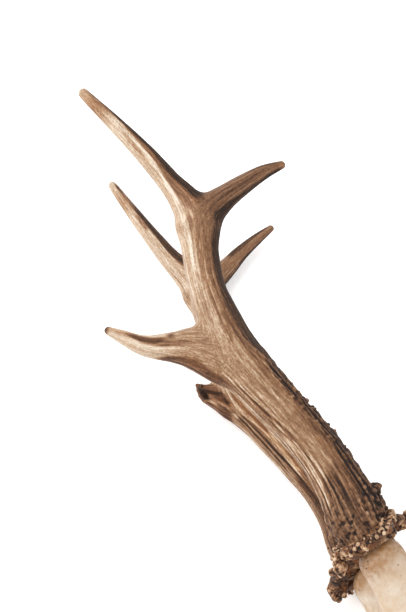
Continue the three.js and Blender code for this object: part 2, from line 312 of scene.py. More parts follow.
class Route:
    """A smooth line with an oval section along it, and places measured along and around it."""

    # Distance between the line's points, samples between two rows, points that are measured at once, and
    # the share of the section below which a point counts as on the line.
    spacing = 0.8
    samples = 60
    batch = 20000
    on_line = 1e-3

    def __init__(self, rows, flat_start=False):
        rows = np.array(rows, float)
        self.flat_start = flat_start
        weights = np.linspace(0, 1, self.samples, endpoint=False)
        dense = line_through(rows[:, :3], weights)
        sizes = line_through(rows[:, 3:], weights)
        run = np.concatenate([[0], np.cumsum(np.linalg.norm(np.diff(dense, axis=0), axis=1))])
        length = run[-1] - min(rows[-1, 3:]) / 2
        self.along = np.linspace(0, length, int(length / self.spacing) + 1)
        self.centre = np.column_stack([np.interp(self.along, run, dense[:, k]) for k in range(3)])
        self.half = np.column_stack([np.interp(self.along, run, sizes[:, k]) for k in range(2)]) / 2
        self.forward = unit(np.gradient(self.centre, axis=0))
        self.back = unit(np.cross(self.forward, (0, 0, 1)))
        self.side = np.cross(self.back, self.forward)

    def measure(self, points):
        """Distance along, the offsets backwards, sideways and past either end, and the half sizes there."""
        nearest = np.concatenate([
            np.argmin(np.sum(self.centre ** 2, axis=1) - 2 * part @ self.centre.T, axis=1)
            for part in np.array_split(points, len(points) // self.batch + 1)
        ])
        offset = points - self.centre[nearest]
        back = np.sum(offset * self.back[nearest], axis=1)
        side = np.sum(offset * self.side[nearest], axis=1)
        past = np.sum(offset * self.forward[nearest], axis=1)
        along = self.along[nearest] + past
        last = len(self.along) - 1
        past = np.where((nearest == 0) | (nearest == last), past, 0)
        half = np.column_stack([np.interp(along, self.along, self.half[:, k]) for k in range(2)])
        return along, back, side, past, half

    def field(self, points):
        """Below 0 inside the route's tube, and about the distance to it elsewhere."""
        along, back, side, past, half = self.measure(points)
        beyond = np.maximum(past, 0) if self.flat_start else past
        offset = np.column_stack([back, side, beyond])
        share = np.linalg.norm(offset / np.column_stack([half, half.min(axis=1)]), axis=1)
        reach = np.linalg.norm(offset, axis=1)
        distance = (share - 1) * reach / np.maximum(share, self.on_line)
        distance = np.where(share < self.on_line, -half.min(axis=1), distance)
        return np.maximum(distance, -along) if self.flat_start else distance

    def polar(self, points):
        """Distance along, and the angle round from the back in degrees, from -180 to 180."""
        along, back, side, _, half = self.measure(points)
        return along, np.degrees(np.arctan2(side / half[:, 1], back / half[:, 0]))

    def place(self, along, angle, raised):
        """The point at a distance along and an angle round, raised off the surface."""
        i = int(np.clip(round(along / self.spacing), 0, len(self.along) - 1))
        turn = math.radians(angle)
        radial = self.back[i] * self.half[i, 0] * math.cos(turn)
        radial = radial + self.side[i] * self.half[i, 1] * math.sin(turn)
        return self.centre[i] + radial * (1 + raised / np.linalg.norm(radial))


def ellipsoid(points, centre, axes, sizes):
    """A field of an ellipsoid: axes are its unit directions, as rows, and sizes its half lengths."""
    local = (points - centre) @ np.asarray(axes).T
    share = np.linalg.norm(local / sizes, axis=1)
    return (share - 1) * min(sizes)


# Meshes

def link(holder):
    """Puts an object in the scene."""
    bpy.context.scene.collection.objects.link(holder)
    return holder


def read_rows(items, key):
    """A vector of each of a mesh's items, as rows."""
    flat = np.empty(len(items) * 3, np.float32)
    items.foreach_get(key, flat)
    return flat.reshape(-1, 3)


def write_numbers(items, key, values):
    items.foreach_set(key, values.astype(np.float32).ravel())


def surface_net(field, low, step):
    """Points and quads of the surface where a field that is sampled on a grid changes sign."""
    cells = np.array(field.shape) - 1
    count = np.zeros(cells)
    total = np.zeros((*cells, 3))
    quads = []
    inside = field < 0
    crossings = []
    for axis in range(3):
        near = np.take(field, range(cells[axis]), axis=axis)
        far = np.take(field, range(1, cells[axis] + 1), axis=axis)
        crosses = (near < 0) != (far < 0)
        share = np.where(crosses, near / np.where(crosses, near - far, 1), 0)
        crossings.append(crosses)
        first, second = [k for k in range(3) if k != axis]
        for shift in itertools.product((0, 1), repeat=2):
            window = [slice(None)] * 3
            window[first] = slice(shift[0], cells[first] + shift[0])
            window[second] = slice(shift[1], cells[second] + shift[1])
            hit = crosses[tuple(window)]
            count += hit
            total[..., axis] += share[tuple(window)]
            total[..., first] += hit * shift[0]
            total[..., second] += hit * shift[1]
    used = count > 0
    number = np.full(cells, -1)
    number[used] = np.arange(used.sum())
    points = (np.argwhere(used) + total[used] / count[used][:, None]) * step + low
    for axis, crosses in enumerate(crossings):
        first, second = (axis + 1) % 3, (axis + 2) % 3
        edge = np.argwhere(crosses)
        edge = edge[(edge[:, first] > 0) & (edge[:, second] > 0)]
        edge = edge[(edge[:, first] < cells[first]) & (edge[:, second] < cells[second])]
        corners = []
        for shift in ((1, 1), (0, 1), (0, 0), (1, 0)):
            cell = edge.copy()
            cell[:, first] -= shift[0]
            cell[:, second] -= shift[1]
            corners.append(number[tuple(cell.T)])
        quad = np.column_stack(corners)
        outwards = inside[tuple(edge.T)]
        quads.append(np.where(outwards[:, None], quad, quad[:, ::-1]))
    return points, np.vstack(quads)


def net_of(field, low, high, step):
    """The surface of a field between two corners, as points and quads."""
    low = np.array(low, float)
    counts = np.ceil((np.array(high) - low) / step).astype(int) + 1
    ticks = [low[k] + step * np.arange(counts[k]) for k in range(3)]
    grid = np.stack(np.meshgrid(*ticks, indexing="ij"), axis=-1).reshape(-1, 3)
    return surface_net(field(grid).reshape(counts), low, step)


class Skin:
    """A fine mesh in the head's frame, whose points, normals and neighbours can be worked on in bulk."""

    # Settling: how far off the field's slope is felt, the slopes it may have, and the longest move.
    feeler = 0.3
    slopes = (0.4, 2)
    longest_move = 1.5

    def __init__(self, name, points, quads, levels):
        coarse = bpy.data.meshes.new(name)
        coarse.from_pydata(points.tolist(), [], quads.tolist())
        holder = link(bpy.data.objects.new(name, coarse))
        finer = holder.modifiers.new("Finer", "SUBSURF")
        finer.levels = finer.render_levels = levels
        evaluated = holder.evaluated_get(bpy.context.evaluated_depsgraph_get())
        self.mesh = bpy.data.meshes.new_from_object(evaluated)
        bpy.data.objects.remove(holder)
        bpy.data.meshes.remove(coarse)
        self.mesh.name = name
        self.mesh.shade_smooth()
        edges = np.empty(len(self.mesh.edges) * 2, np.int32)
        self.mesh.edges.foreach_get("vertices", edges)
        self.ends = edges.reshape(-1, 2)
        self.count = len(self.mesh.vertices)
        self.degree = np.bincount(self.ends.ravel(), minlength=self.count)

    @property
    def points(self):
        return read_rows(self.mesh.vertices, "co").astype(float)

    @points.setter
    def points(self, rows):
        write_numbers(self.mesh.vertices, "co", rows)
        self.mesh.update()

    @property
    def normals(self):
        return read_rows(self.mesh.vertex_normals, "vector").astype(float)

    def averaged(self, rows, rounds=1):
        """Each point's value becomes the mean of its neighbours', as often as asked."""
        first, second = self.ends.T
        for _ in range(rounds):
            means = []
            for column in rows.T if rows.ndim == 2 else [rows]:
                total = np.bincount(first, column[second], self.count)
                total = total + np.bincount(second, column[first], self.count)
                means.append(total / self.degree)
            rows = np.column_stack(means) if rows.ndim == 2 else means[0]
        return rows

    def settle(self, field, rounds=3):
        """Moves every point along its normal onto the field's surface."""
        for _ in range(rounds):
            points, normals = self.points, self.normals
            here = field(points)
            slope = np.clip((field(points + self.feeler * normals) - here) / self.feeler, *self.slopes)
            move = np.clip(here / slope, -self.longest_move, self.longest_move)
            self.points = points - normals * move[:, None]

    def raise_by(self, relief):
        self.points = self.points + self.normals * relief[:, None]

    def hollowness(self, rounds):
        """How far each point lies below its surroundings, in millimetres, with ridges below 0."""
        points = self.points
        return np.sum((self.averaged(points, rounds) - points) * self.normals, axis=1)

    def keep(self, name, values):
        """Stores a number or a vector for each point, for the material to read."""
        kind, key = ("FLOAT_VECTOR", "vector") if values.ndim == 2 else ("FLOAT", "value")
        layer = self.mesh.attributes.new(name, kind, "POINT")
        write_numbers(layer.data, key, values)

    def finish(self, material, nodes):
        """Lays the mesh down in place, in metres, as one piece that stands for the given nodes."""
        self.mesh.transform(lie_matrix())
        self.mesh.materials.clear()
        self.mesh.materials.append(material)
        piece = place_piece(self.mesh)
        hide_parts(*nodes)
        return piece


def place_piece(mesh):
    """Puts a finished mesh in the scene as a piece, with no point of it outside the model's own box."""
    write_numbers(mesh.vertices, "co", np.clip(read_rows(mesh.vertices, "co"), *CAD_BOX))
    mesh.update()
    piece = link(bpy.data.objects.new(mesh.name, mesh))
    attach(piece, "root")
    return piece


def lie_matrix():
    """From the head's frame in millimetres to where the pair lies, in metres."""
    pitch = Matrix.Rotation(math.radians(LIE_PITCH), 4, "X")
    roll = Matrix.Rotation(math.radians(LIE_ROLL), 4, "Y")
    return Matrix.Scale(MILLIMETRE, 4) @ Matrix.Translation(HEAD_PLACE) @ (pitch @ roll)


# Antlers

# The nodes that one antler stands for.
ANTLER_PARTS = ("lower_beam", "front_tine", "upper_beam", "top_tine", "rear_tine")

# The spur's fillet, and how rough the spur, a splintered end and a torn hollow are, in millimetres. The
# noise of the splinters has longer cells up the head.
SPUR_FILLET = 1.5
SPUR_ROUGHNESS = 0.35
SPLINTER_HEIGHT = 0.9
SPLINTER_CELLS = (0.5, 0.2, 0.5)
HOLLOW_ROUGHNESS = 0.5
# How much nearer a tine's surface may be than the beam's where the looks change from one to the other.
ROOT_CHANGE = (-1.5, 3.5)


def side_of(data):
    """1 for the left antler and -1 for the right one."""
    return math.copysign(1, data["burr"][2])


class Antler:
    """One antler's routes and fields."""

    def __init__(self, data, fillet):
        self.data = data
        self.side = side_of(data)
        self.main = Route(data["main"], flat_start=True)
        self.front = Route(data["front"])
        self.rear = Route(data["rear"])
        self.fillet = fillet

    def field(self, points):
        front = self.front.field(points)
        if self.data["broken"]:
            front = np.maximum(front, self.break_field(points))
        whole = blend_fields(self.main.field(points), front, self.fillet)
        whole = blend_fields(whole, self.rear.field(points), self.fillet)
        return blend_fields(whole, self.spur_field(points), SPUR_FILLET)

    def end_field(self, points):
        """Above 0 beyond the splintered end of a broken tine."""
        broken = self.data["broken"]
        out = (points - np.array(broken["end"])) @ unit(np.array(broken["towards"]))
        return out + SPLINTER_HEIGHT * fractal(points * SPLINTER_CELLS, 31)

    def hollow_field(self, points):
        """Below 0 in the hollow that is torn out of a broken tine's side."""
        broken = self.data["broken"]
        torn = ellipsoid(points, np.array(broken["hollow"]), broken["axes"], broken["sizes"])
        return torn + HOLLOW_ROUGHNESS * fractal(points / 2, 33, 2)

    def break_field(self, points):
        """Above 0 wherever bone is missing from a broken tine."""
        return np.maximum(self.end_field(points), -self.hollow_field(points))

    def spur_field(self, points):
        spur = self.data["spur"]
        height, width = spur["height"], spur["width"]
        rows = []
        # How far down the beam, how far off its surface, and the share of the spur's width.
        for down, raised, share in ((4, -6, 1.7), (2, -2, 1.6), (0.5, height * 0.5, 1.15), (0, height, 0.8)):
            place = self.main.place(spur["up"] - down, spur["angle"], raised)
            rows.append((*place, width * share, width * share))
        return Route(rows).field(points) + SPUR_ROUGHNESS * fractal(points / 1.6, 41, 2)

    def branch_share(self, points):
        """0 on the main route and 1 on the nearer tine, with an even change round its root."""
        main = self.main.field(points)
        front = self.front.field(points)
        rear = self.rear.field(points)
        return smooth(main - np.minimum(front, rear), *ROOT_CHANGE), front < rear


def around(angle, cells, along, length):
    """Places for noise that runs along a route: so many cells to the radius and so long each."""
    turn = np.radians(angle)
    return np.column_stack([cells * np.cos(turn), cells * np.sin(turn), along / length])


def wrapped(angle):
    """The same angle from -180 to 180 degrees."""
    return (angle + 180) % 360 - 180


def band(along, angle, rows, soft):
    """How much a point belongs to a band along a route. Rows are distance, first angle and last angle."""
    rows = np.array(rows, float)
    first, last = (np.interp(along, rows[:, 0], rows[:, k]) for k in (1, 2))
    off = np.abs(wrapped(angle - (first + last) / 2))
    half = (last - first) / 2
    fade = 1 + 0.2 * soft
    start, end = rows[0, 0], rows[-1, 0]
    ends = smooth(along, start - fade, start + fade) * smooth(along, end + fade, end - fade)
    return smooth(off, half + soft, np.maximum(half - soft, 0)) * ends


# Distances up the beam between which its ridges rise, fade above the first fork and end, and between which
# its rough foot and its rough back fade.
RIDGES_RISE = (6, 22)
RIDGES_FADE = (84, 128)
RIDGES_END = (170, 200)
FOOT_FADE = (30, 12)
BACK_FADE = (112, 70)
# The rough back's middle and its edge, in degrees.
BACK_MIDDLE = 14
BACK_EDGE = (60, 34)
# Heights of the beam's ridges in millimetres, and how sharp the crests are.
BROAD_HEIGHT = 0.42
CREST_HEIGHT = 0.26
THIN_HEIGHT = 0.2
CREST_SHARPNESS = 2.6


def antler_relief(antler, points):
    """Height of the ridges, grain and bumps at each point, in millimetres, and what the looks need."""
    share, by_front = antler.branch_share(points)
    along, angle = antler.main.polar(points)
    front_along, front_angle = antler.front.polar(points)
    rear_along, rear_angle = antler.rear.polar(points)
    tine_along = np.where(by_front, front_along, rear_along)
    tine_angle = np.where(by_front, front_angle, rear_angle)
    seed = 3 if antler.side > 0 else 60

    turned = angle + 12 * fractal(around(angle, 1.6, along, 26), seed, 2)
    broad = fractal(around(turned, 3.4, along, 62), seed + 5, 2)
    crests = 1 - CREST_SHARPNESS * np.abs(fractal(around(turned, 4.6, along, 56), seed + 9, 2))
    thin = noise(around(turned, 10, along, 30), seed + 13)
    grain = noise(around(angle, 11, along, 6), seed + 21)
    lumps = fractal(points / 3.1, seed + 30, 2)
    ridged = smooth(along, *RIDGES_RISE)
    ridged = ridged * (1 - 0.86 * smooth(along, *RIDGES_FADE)) * (1 - 0.9 * smooth(along, *RIDGES_END))
    if antler.side > 0:
        ridged = ridged * (1 - 0.82 * band(along, angle, PLAIN_SIDE, 14))
    back_rough = smooth(np.abs(wrapped(angle - BACK_MIDDLE)), *BACK_EDGE) * smooth(along, *BACK_FADE)
    foot = smooth(along, *FOOT_FADE)
    beam = ridged * (BROAD_HEIGHT * broad + CREST_HEIGHT * crests + THIN_HEIGHT * thin)
    beam += (0.06 + 0.06 * ridged) * grain + foot * (0.5 * lumps - 0.3 * smooth(lumps, -0.25, -0.5))
    beam += back_rough * (0.95 * np.maximum(lumps, -0.3) + 0.3 * thin)

    streaks = fractal(around(tine_angle, 5, tine_along, 24), seed + 40, 2)
    root_rough = np.where(by_front, 0.35, 1.0) * smooth(tine_along, 55, 20)
    tine = (0.05 + 0.16 * root_rough) * streaks
    above_burr = smooth(along, 20, 9) * smooth(along, 2, 6)
    return {
        "relief": beam * (1 - share) + tine * share, "share": share, "by_front": by_front,
        "along": along, "angle": angle, "tine_along": tine_along, "tine_angle": tine_angle,
        "crests": crests, "ridged": ridged * (1 - share),
        "pearly": np.clip(back_rough * 0.8 + above_burr, 0, 1) * (1 - share),
    }


# The smooth side of the left beam, as rows of distance along, first angle and last angle. Angles go round
# from the back over the deer's left side.
PLAIN_SIDE = [(34, 78, 112), (50, 70, 122), (90, 62, 128), (130, 60, 150)]

# Stains, and on the left antler painted highlights: the route, the tone they bring, how warm they are, how
# strong, how soft their edges in degrees, and their rows.
LEFT_STAINS_AND_HIGHLIGHTS = [
    ("main", 0.24, 0.1, 0.8, 12, [(6, 50, 185), (24, 50, 185), (38, 60, 112)]),
    ("main", 0.36, 0.35, 0.75, 10, [(24, 56, 98), (44, 56, 92), (70, 56, 80), (110, 54, 76), (124, 56, 84)]),
    ("main", 0.5, 0.4, 0.7, 8, [(128, 80, 98), (146, 82, 104), (160, 82, 106), (172, 84, 110)]),
    ("main", 0.42, 0.3, 0.85, 9, [
        (110, 54, 68), (128, 56, 78), (150, 54, 82), (166, 50, 84), (178, 56, 102),
    ]),
    ("main", 0.38, 0.5, 0.9, 8, [
        (176, 56, 100), (186, 60, 114), (196, 62, 100), (206, 60, 86), (226, 56, 72),
    ]),
    ("main", 0.12, 0.05, 1, 6, [
        (0, -60, 62), (22, -60, 68), (36, -55, 64), (60, -50, 57), (90, -45, 54), (130, -40, 58),
        (166, -40, 54),
    ]),
    ("main", 0.1, 0.05, 1, 6, [
        (166, -40, 46), (182, -40, 66), (195, -40, 73), (210, -30, 64), (225, -25, 58), (250, -20, 56),
    ]),
    ("main", 0.4, 0.4, 0.7, 6, [(120, 166, 190), (132, 168, 190)]),
    ("main", 0.42, 0.4, 0.6, 5, [(108, 88, 93), (122, 84, 97), (136, 92, 99)]),
    ("main", 0.28, 0.35, 0.75, 8, [
        (58, 132, 144), (70, 136, 150), (82, 142, 156), (92, 146, 170), (100, 150, 178),
    ]),
    ("main", 0.4, 0.3, 0.6, 5, [(14, 122, 134), (26, 124, 132), (36, 128, 134)]),
    ("main", 0.42, 0.4, 0.6, 4, [(22, 146, 154), (40, 148, 154), (60, 150, 156)]),
    ("main", 0.88, 0.2, 0.7, 3.5, [(24, 139, 144), (46, 140, 144), (72, 139, 142)]),
    ("main", 0.72, 0.15, 0.6, 10, [(104, 110, 150), (120, 106, 172), (140, 112, 172)]),
    # Painted highlight: a pale glossy streak along the upper beam into the top tine.
    ("main", 0.9, 0.05, 0.7, 6, [(144, 108, 116), (156, 112, 130), (170, 120, 138), (180, 126, 142)]),
    # Painted highlight: an ivory streak along the top tine.
    ("main", 1, 0.05, 0.8, 5, [
        (180, 124, 138), (192, 114, 128), (203, 94, 106), (220, 82, 98), (240, 84, 100),
    ]),
    ("main", 0.55, 0.35, 0.7, 8, [(209, 108, 126), (216, 106, 128), (224, 104, 120)]),
    ("main", 0.5, 0.7, 0.75, 30, [(236, 40, 180), (250, 0, 190)]),
    ("front", 0.22, 0.45, 0.95, 6, [(39, 68, 86), (44, 60, 92), (50, 54, 89), (55, 52, 82), (59, 56, 72)]),
    ("front", 0.2, 0.1, 0.9, 4, [(35.6, 42, 74), (37.6, 42, 78)]),
    ("front", 0.4, 0.35, 0.8, 6, [(27, 82, 92), (32, 80, 98), (38, 84, 106), (43, 88, 100)]),
    ("front", 0.25, 0.2, 0.7, 5, [(21, 74, 80), (22.5, 74, 80)]),
    ("front", 0.24, 0.6, 0.95, 6, [
        (2, 142, 182), (14, 140, 182), (22, 130, 178), (30, 133, 178), (37, 144, 182), (42, 158, 188),
    ]),
    ("front", 0.55, 0.5, 0.6, 3, [(2, 160, 164), (16, 158, 162), (28, 153, 157), (36, 162, 166)]),
    ("front", 0.1, 0.2, 1, 4, [(66.4, -180, 178), (70, -180, 178)]),
    # Painted highlight: a pale streak on the front tine.
    ("front", 0.9, 0.1, 0.6, 7, [(40, 110, 120), (47, 104, 118), (62, 100, 124)]),
    ("front", 0.68, 0.55, 0.8, 10, [(57, 50, 88), (62, 46, 86), (66, 40, 84)]),
    ("rear", 0.1, 0.0, 1, 7, [
        (2, -80, 50), (12, -80, 57), (19, -80, 56), (26, -80, 36), (38, -80, 34), (46, -70, 42),
        (51, -70, 56),
    ]),
    ("rear", 0.3, 0.3, 0.7, 8, [(8, 64, 74), (18, 62, 82), (26, 70, 86)]),
    ("rear", 0.32, 0.3, 0.7, 8, [(27, 62, 92), (35, 60, 88), (43, 62, 96)]),
    ("rear", 0.2, 0.1, 0.8, 8, [(36, 124, 150), (44, 114, 150), (51, 104, 150)]),
    ("rear", 0.62, 0.8, 0.8, 20, [(52.5, -180, 178), (60, -180, 178)]),
]
RIGHT_STAINS = [
    ("main", 0.5, 0.9, 0.9, 5, [(36, 104, 122), (60, 104, 120), (90, 104, 121), (108, 106, 122)]),
    ("main", 0.66, 0.6, 0.8, 4, [(34, 122, 136), (44, 120, 128), (70, 121, 127), (104, 122, 132)]),
    ("main", 0.16, 0.2, 0.95, 3.5, [
        (44, 128, 136), (56, 127, 137), (70, 129, 137), (86, 131, 138), (98, 134, 138),
    ]),
    ("main", 0.8, 0.2, 0.85, 2.5, [(50, 139, 142), (70, 139, 142), (100, 139, 142)]),
    ("main", 0.1, 0.1, 0.95, 3, [
        (28, 142, 150), (44, 143, 151), (62, 143, 149), (80, 143, 148), (98, 143, 151),
    ]),
    ("main", 0.62, 0.3, 0.8, 4, [(34, 153, 162), (60, 151, 162), (84, 151, 160), (104, 154, 160)]),
    ("main", 0.4, 0.5, 0.6, 6, [(82, 150, 160), (90, 150, 162), (98, 152, 160)]),
    ("main", 0.1, 0.05, 0.9, 8, [(6, 118, 156), (20, 122, 156), (32, 138, 152)]),
    ("main", 0.2, 0.4, 0.8, 10, [(8, 96, 156), (30, 98, 156), (56, 104, 150)]),
    ("main", 0.12, 0.05, 1, 7, [(0, -60, 56), (50, -50, 60), (110, -45, 62), (160, -45, 62), (174, -45, 60)]),
    ("main", 0.16, 0.2, 1, 6, [
        (172, -45, 78), (184, -45, 88), (200, -40, 82), (220, -35, 80), (245, -30, 80),
    ]),
    ("main", 0.82, 0.05, 0.6, 8, [(172, 124, 140), (188, 120, 142), (206, 116, 140), (240, 110, 136)]),
    ("main", 0.25, 0.3, 0.7, 8, [(212, 84, 104), (222, 86, 100)]),
    ("main", 0.62, 0.6, 0.7, 30, [(228, 40, 180), (240, 0, 190)]),
    ("rear", 0.14, 0.1, 1, 7, [(4, -80, 26), (26, -80, 26), (34, -80, 34), (52, -60, 34)]),
    ("rear", 0.18, 0.1, 1, 7, [(27, 100, 160), (34, 94, 160), (44, 100, 160), (52, 110, 160)]),
    ("rear", 0.42, 0.7, 0.7, 7, [(30, 34, 54), (44, 36, 60), (52, 40, 60)]),
    ("front", 0.7, 0.5, 0.7, 7, [(8, 100, 122), (14, 102, 120), (19, 104, 118)]),
    ("front", 0.2, 0.2, 0.9, 7, [(8, 124, 138), (19, 124, 140)]),
]
# Tones along the beam, the front tine and the rear tine, as rows of distance and tone.
BEAM_TONES = [
    (0, 0.46), (16, 0.48), (50, 0.56), (95, 0.61), (125, 0.66), (150, 0.7), (185, 0.76), (247, 0.82),
]
FRONT_TONES = [(0, 0.6), (30, 0.64), (45, 0.78), (66, 0.82)]
REAR_TONES = [(0, 0.42), (50, 0.38)]
RIGHT_REAR_PALER = 0.08
PLAIN_WARMTH = 0.18
# The far side of the beam is darker: its middle and its edge in degrees, and by how much.
FAR_SIDE = -110
FAR_EDGE = (75, 40)
FAR_DARKER = 0.12


def tones_at(along, rows):
    """The tone at each distance along, from rows of distance and tone."""
    return np.interp(along, *np.array(rows, float).T)


def antler_paint(antler, skin, facts):
    """How pale, how warm and how polished each point is, with painted shade in the hollows, painted light on
    the ridges and, on the left antler, painted highlights.
    """
    along, angle, share, by_front = (facts[key] for key in ("along", "angle", "share", "by_front"))
    tine_along, tine_angle, ridged = (facts[key] for key in ("tine_along", "tine_angle", "ridged"))
    left = antler.side > 0
    seed = 100 if left else 160
    rear = tones_at(tine_along, REAR_TONES) + RIGHT_REAR_PALER * (not left)
    tine = np.where(by_front, tones_at(tine_along, FRONT_TONES), rear)
    far = smooth(np.abs(wrapped(angle - FAR_SIDE)), *FAR_EDGE)
    tone = (tones_at(along, BEAM_TONES) - FAR_DARKER * far) * (1 - share) + tine * share
    warmth = np.full(len(along), PLAIN_WARMTH)

    ragged = 5 * fractal(around(angle, 4, along, 15), seed + 3, 2)
    tine_ragged = 6 * fractal(around(tine_angle, 4, tine_along, 9), seed + 5, 2)
    # Stains, and on the left antler painted highlights, laid over the tone.
    for route, target, warm, strength, soft, rows in LEFT_STAINS_AND_HIGHLIGHTS if left else RIGHT_STAINS:
        if route == "main":
            amount = band(along, angle + ragged, rows, soft) * (1 - share)
        else:
            amount = band(tine_along, tine_angle + tine_ragged, rows, soft) * share
            amount = amount * (by_front == (route == "front"))
        tone += (target - tone) * amount * strength
        warmth += (warm - warmth) * amount * strength

    streaks = fractal(around(angle, 7, along, 30), seed + 7, 2)
    fine = noise(around(angle, 12, along, 14), seed + 11)
    contrast = 0.05 + (0.09 if left else 0.16) * ridged + 0.05 * smooth(along, 30, 8)
    tone += (contrast * streaks + (0.06 + 0.05 * ridged) * fine) * (1 - share)
    tone += 0.1 * fractal(around(tine_angle, 5, tine_along, 26), seed + 15, 2) * share + 0.035

    # Painted shade in the hollows of the relief, and painted light on its ridges.
    hollow, deep = (skin.averaged(facts["relief"], rounds) - facts["relief"] for rounds in (2, 14))
    tone -= np.clip(hollow * 2.4, -0.16, 0.24) + np.clip(deep * 0.3, -0.08, 0.2)
    tone += 0.14 * smooth(facts["crests"], 0.72, 0.97) * ridged * smooth(tone, 0.15, 0.4)
    polish = smooth(along, 90, 130) * (1 - share) + share * smooth(tine_along, 8, 26)
    return tuple(np.clip(values, 0, 1) for values in (tone, warmth, polish))


def paint_break(antler, points, facts, tone, warmth, polish):
    """Paints a broken tine over: its splits, its bare end and the hollow torn out of it."""
    on_tine = smooth(facts["share"], 0.2, 0.6) * facts["by_front"]
    splits = fractal(around(facts["tine_angle"], 4, facts["tine_along"], 13), 75, 2)
    tone += (0.7 * splits - 0.14) * on_tine
    warmth += (0.4 - 0.9 * splits) * on_tine
    for bare, target, warm in (
        (smooth(antler.end_field(points), -1, -0.3), 0.4, 0.5),
        (smooth(antler.hollow_field(points), 1.2, 0.2), 0.14, 0.1),
    ):
        tone += (target + 0.2 * fractal(points / 1.3, 71) - tone) * bare * on_tine
        warmth += (warm - warmth) * bare * on_tine
        polish *= 1 - bare * on_tine


def build_antler(data, settings, material):
    """One antler from its burr to its tips, as one fine mesh."""
    antler = Antler(data, settings.fillet)
    rows = np.vstack([np.array(data[name], float) for name in ("main", "front", "rear")])
    reach = rows[:, 3:].max(axis=1, keepdims=True) / 2 + 3
    low, high = (rows[:, :3] - reach).min(axis=0), (rows[:, :3] + reach).max(axis=0)
    points, quads = net_of(antler.field, low, high, settings.net_step)
    skin = Skin(f"{data['name']}_antler", points, quads, settings.levels)
    skin.settle(antler.field)
    facts = antler_relief(antler, skin.points)
    skin.raise_by(facts["relief"] * settings.ridge_height)
    tone, warmth, polish = antler_paint(antler, skin, facts)
    if data["broken"]:
        paint_break(antler, skin.points, facts, tone, warmth, polish)
    for name, values in (("tone", tone), ("warmth", warmth), ("polish", polish)):
        skin.keep(name, values)
    for name, fact in (("tine_share", "share"), ("pearly", "pearly")):
        skin.keep(name, facts[fact])
    for name, run, turn in (("grain", "along", "angle"), ("tine_grain", "tine_along", "tine_angle")):
        skin.keep(name, around(facts[turn], 9, facts[run], 1))
    return skin.finish(material, [f"{data['name']}_{part}" for part in ANTLER_PARTS])


# Burrs

BURR_SEEDS = {"left": 300, "right": 340}
RIGHT_BURR_DARKER = 0.12
# The collar: its middle's radius and height, its roundness, and how wavy it is.
COLLAR_RADIUS = 11.6
COLLAR_HEIGHT = 0.2
COLLAR_ROUND = 1.2
COLLAR_WAVE = 1.3
# The crown's lumps stand in three rows. A row is the share of their size, their distance out and their rise.
CROWN_ROWS = ((1, 15.1, 0.2), (0.7, 14.7, 1.6), (0.55, 14, 3))
# How long a lump is outwards, across and upwards, as the least and the greatest share of its size.
LUMP_SHARES = ((0.9, 1.4), (0.6, 0.95), (0.8, 1.4))
# A lump's fillet ends this far from it.
LUMP_REACH = 3
# A knob's half lengths as shares of its radius, and how many grains stand on it.
KNOB_SHARES = (0.74, 0.7, 0.74)
KNOB_GRAINS = 9


def burr_axis(data):
    return unit(np.array(BURR_LEAN) * (1, 1, side_of(data)))


def burr_lumps(data, count, seed):
    """The lumps of a burr's crown and its knobs: centre, axes and half lengths of each."""
    rng = np.random.default_rng(seed)
    axis = burr_axis(data)
    first = unit(np.cross(axis, (0, 0, 1)))
    second = np.cross(axis, first)
    centre = np.array(data["burr"])
    lumps = []
    for i in range(count):
        turn = 2 * math.pi * (i + rng.uniform(-0.45, 0.45)) / count
        radial = first * math.cos(turn) + second * math.sin(turn)
        share, distance, rise = CROWN_ROWS[i % len(CROWN_ROWS)]
        outer = 1 - 0.35 * max(0, radial[2] * side_of(data))
        size = rng.uniform(0.7, 2.4) * share * outer
        out = unit(radial + axis * rng.uniform(-0.8, 0.8))
        across = unit(np.cross(out, axis) + 0.6 * rng.normal(size=3))
        up = unit(np.cross(across, out))
        across = np.cross(out, up)
        reach = distance + rng.uniform(-0.5, 0.9) - 0.35 * size
        place = centre + radial * reach + axis * (outer * (rise + rng.uniform(-1.2, 1.2)))
        lumps.append((place, (out, across, up), tuple(size * rng.uniform(*shares) for shares in LUMP_SHARES)))
    for *place, size in data["knobs"]:
        place = np.array(place, float)
        lumps.append((place, np.eye(3), tuple(size * share for share in KNOB_SHARES)))
        for _ in range(KNOB_GRAINS):
            towards = unit(rng.normal(size=3))
            part = size * rng.uniform(0.14, 0.3)
            lumps.append((place + 0.7 * size * towards, np.eye(3), (part, part * rng.uniform(0.8, 1.5), part)))
    return lumps


class Burr:
    """The knobbly ring at the foot of an antler."""

    def __init__(self, data, settings, seed):
        self.ring = data["ring"]
        self.centre = np.array(data["burr"])
        self.axis = burr_axis(data)
        self.lumps = burr_lumps(data, settings.pearls, seed)
        self.seed = seed
        self.merge = settings.merge

    def field(self, points):
        height, radius = about_axis(points, self.centre, self.axis)
        wave = COLLAR_WAVE * fractal(points / 4.2, self.seed, 2)
        off = np.hypot((radius - COLLAR_RADIUS) / COLLAR_ROUND, (height - COLLAR_HEIGHT) / COLLAR_ROUND)
        whole = off - self.ring + wave
        for centre, axes, sizes in self.lumps:
            near = np.linalg.norm(points - centre, axis=1) < max(sizes) + LUMP_REACH
            part = ellipsoid(points[near], centre, axes, sizes)
            whole[near] = blend_fields(whole[near], part, self.merge)
        return whole


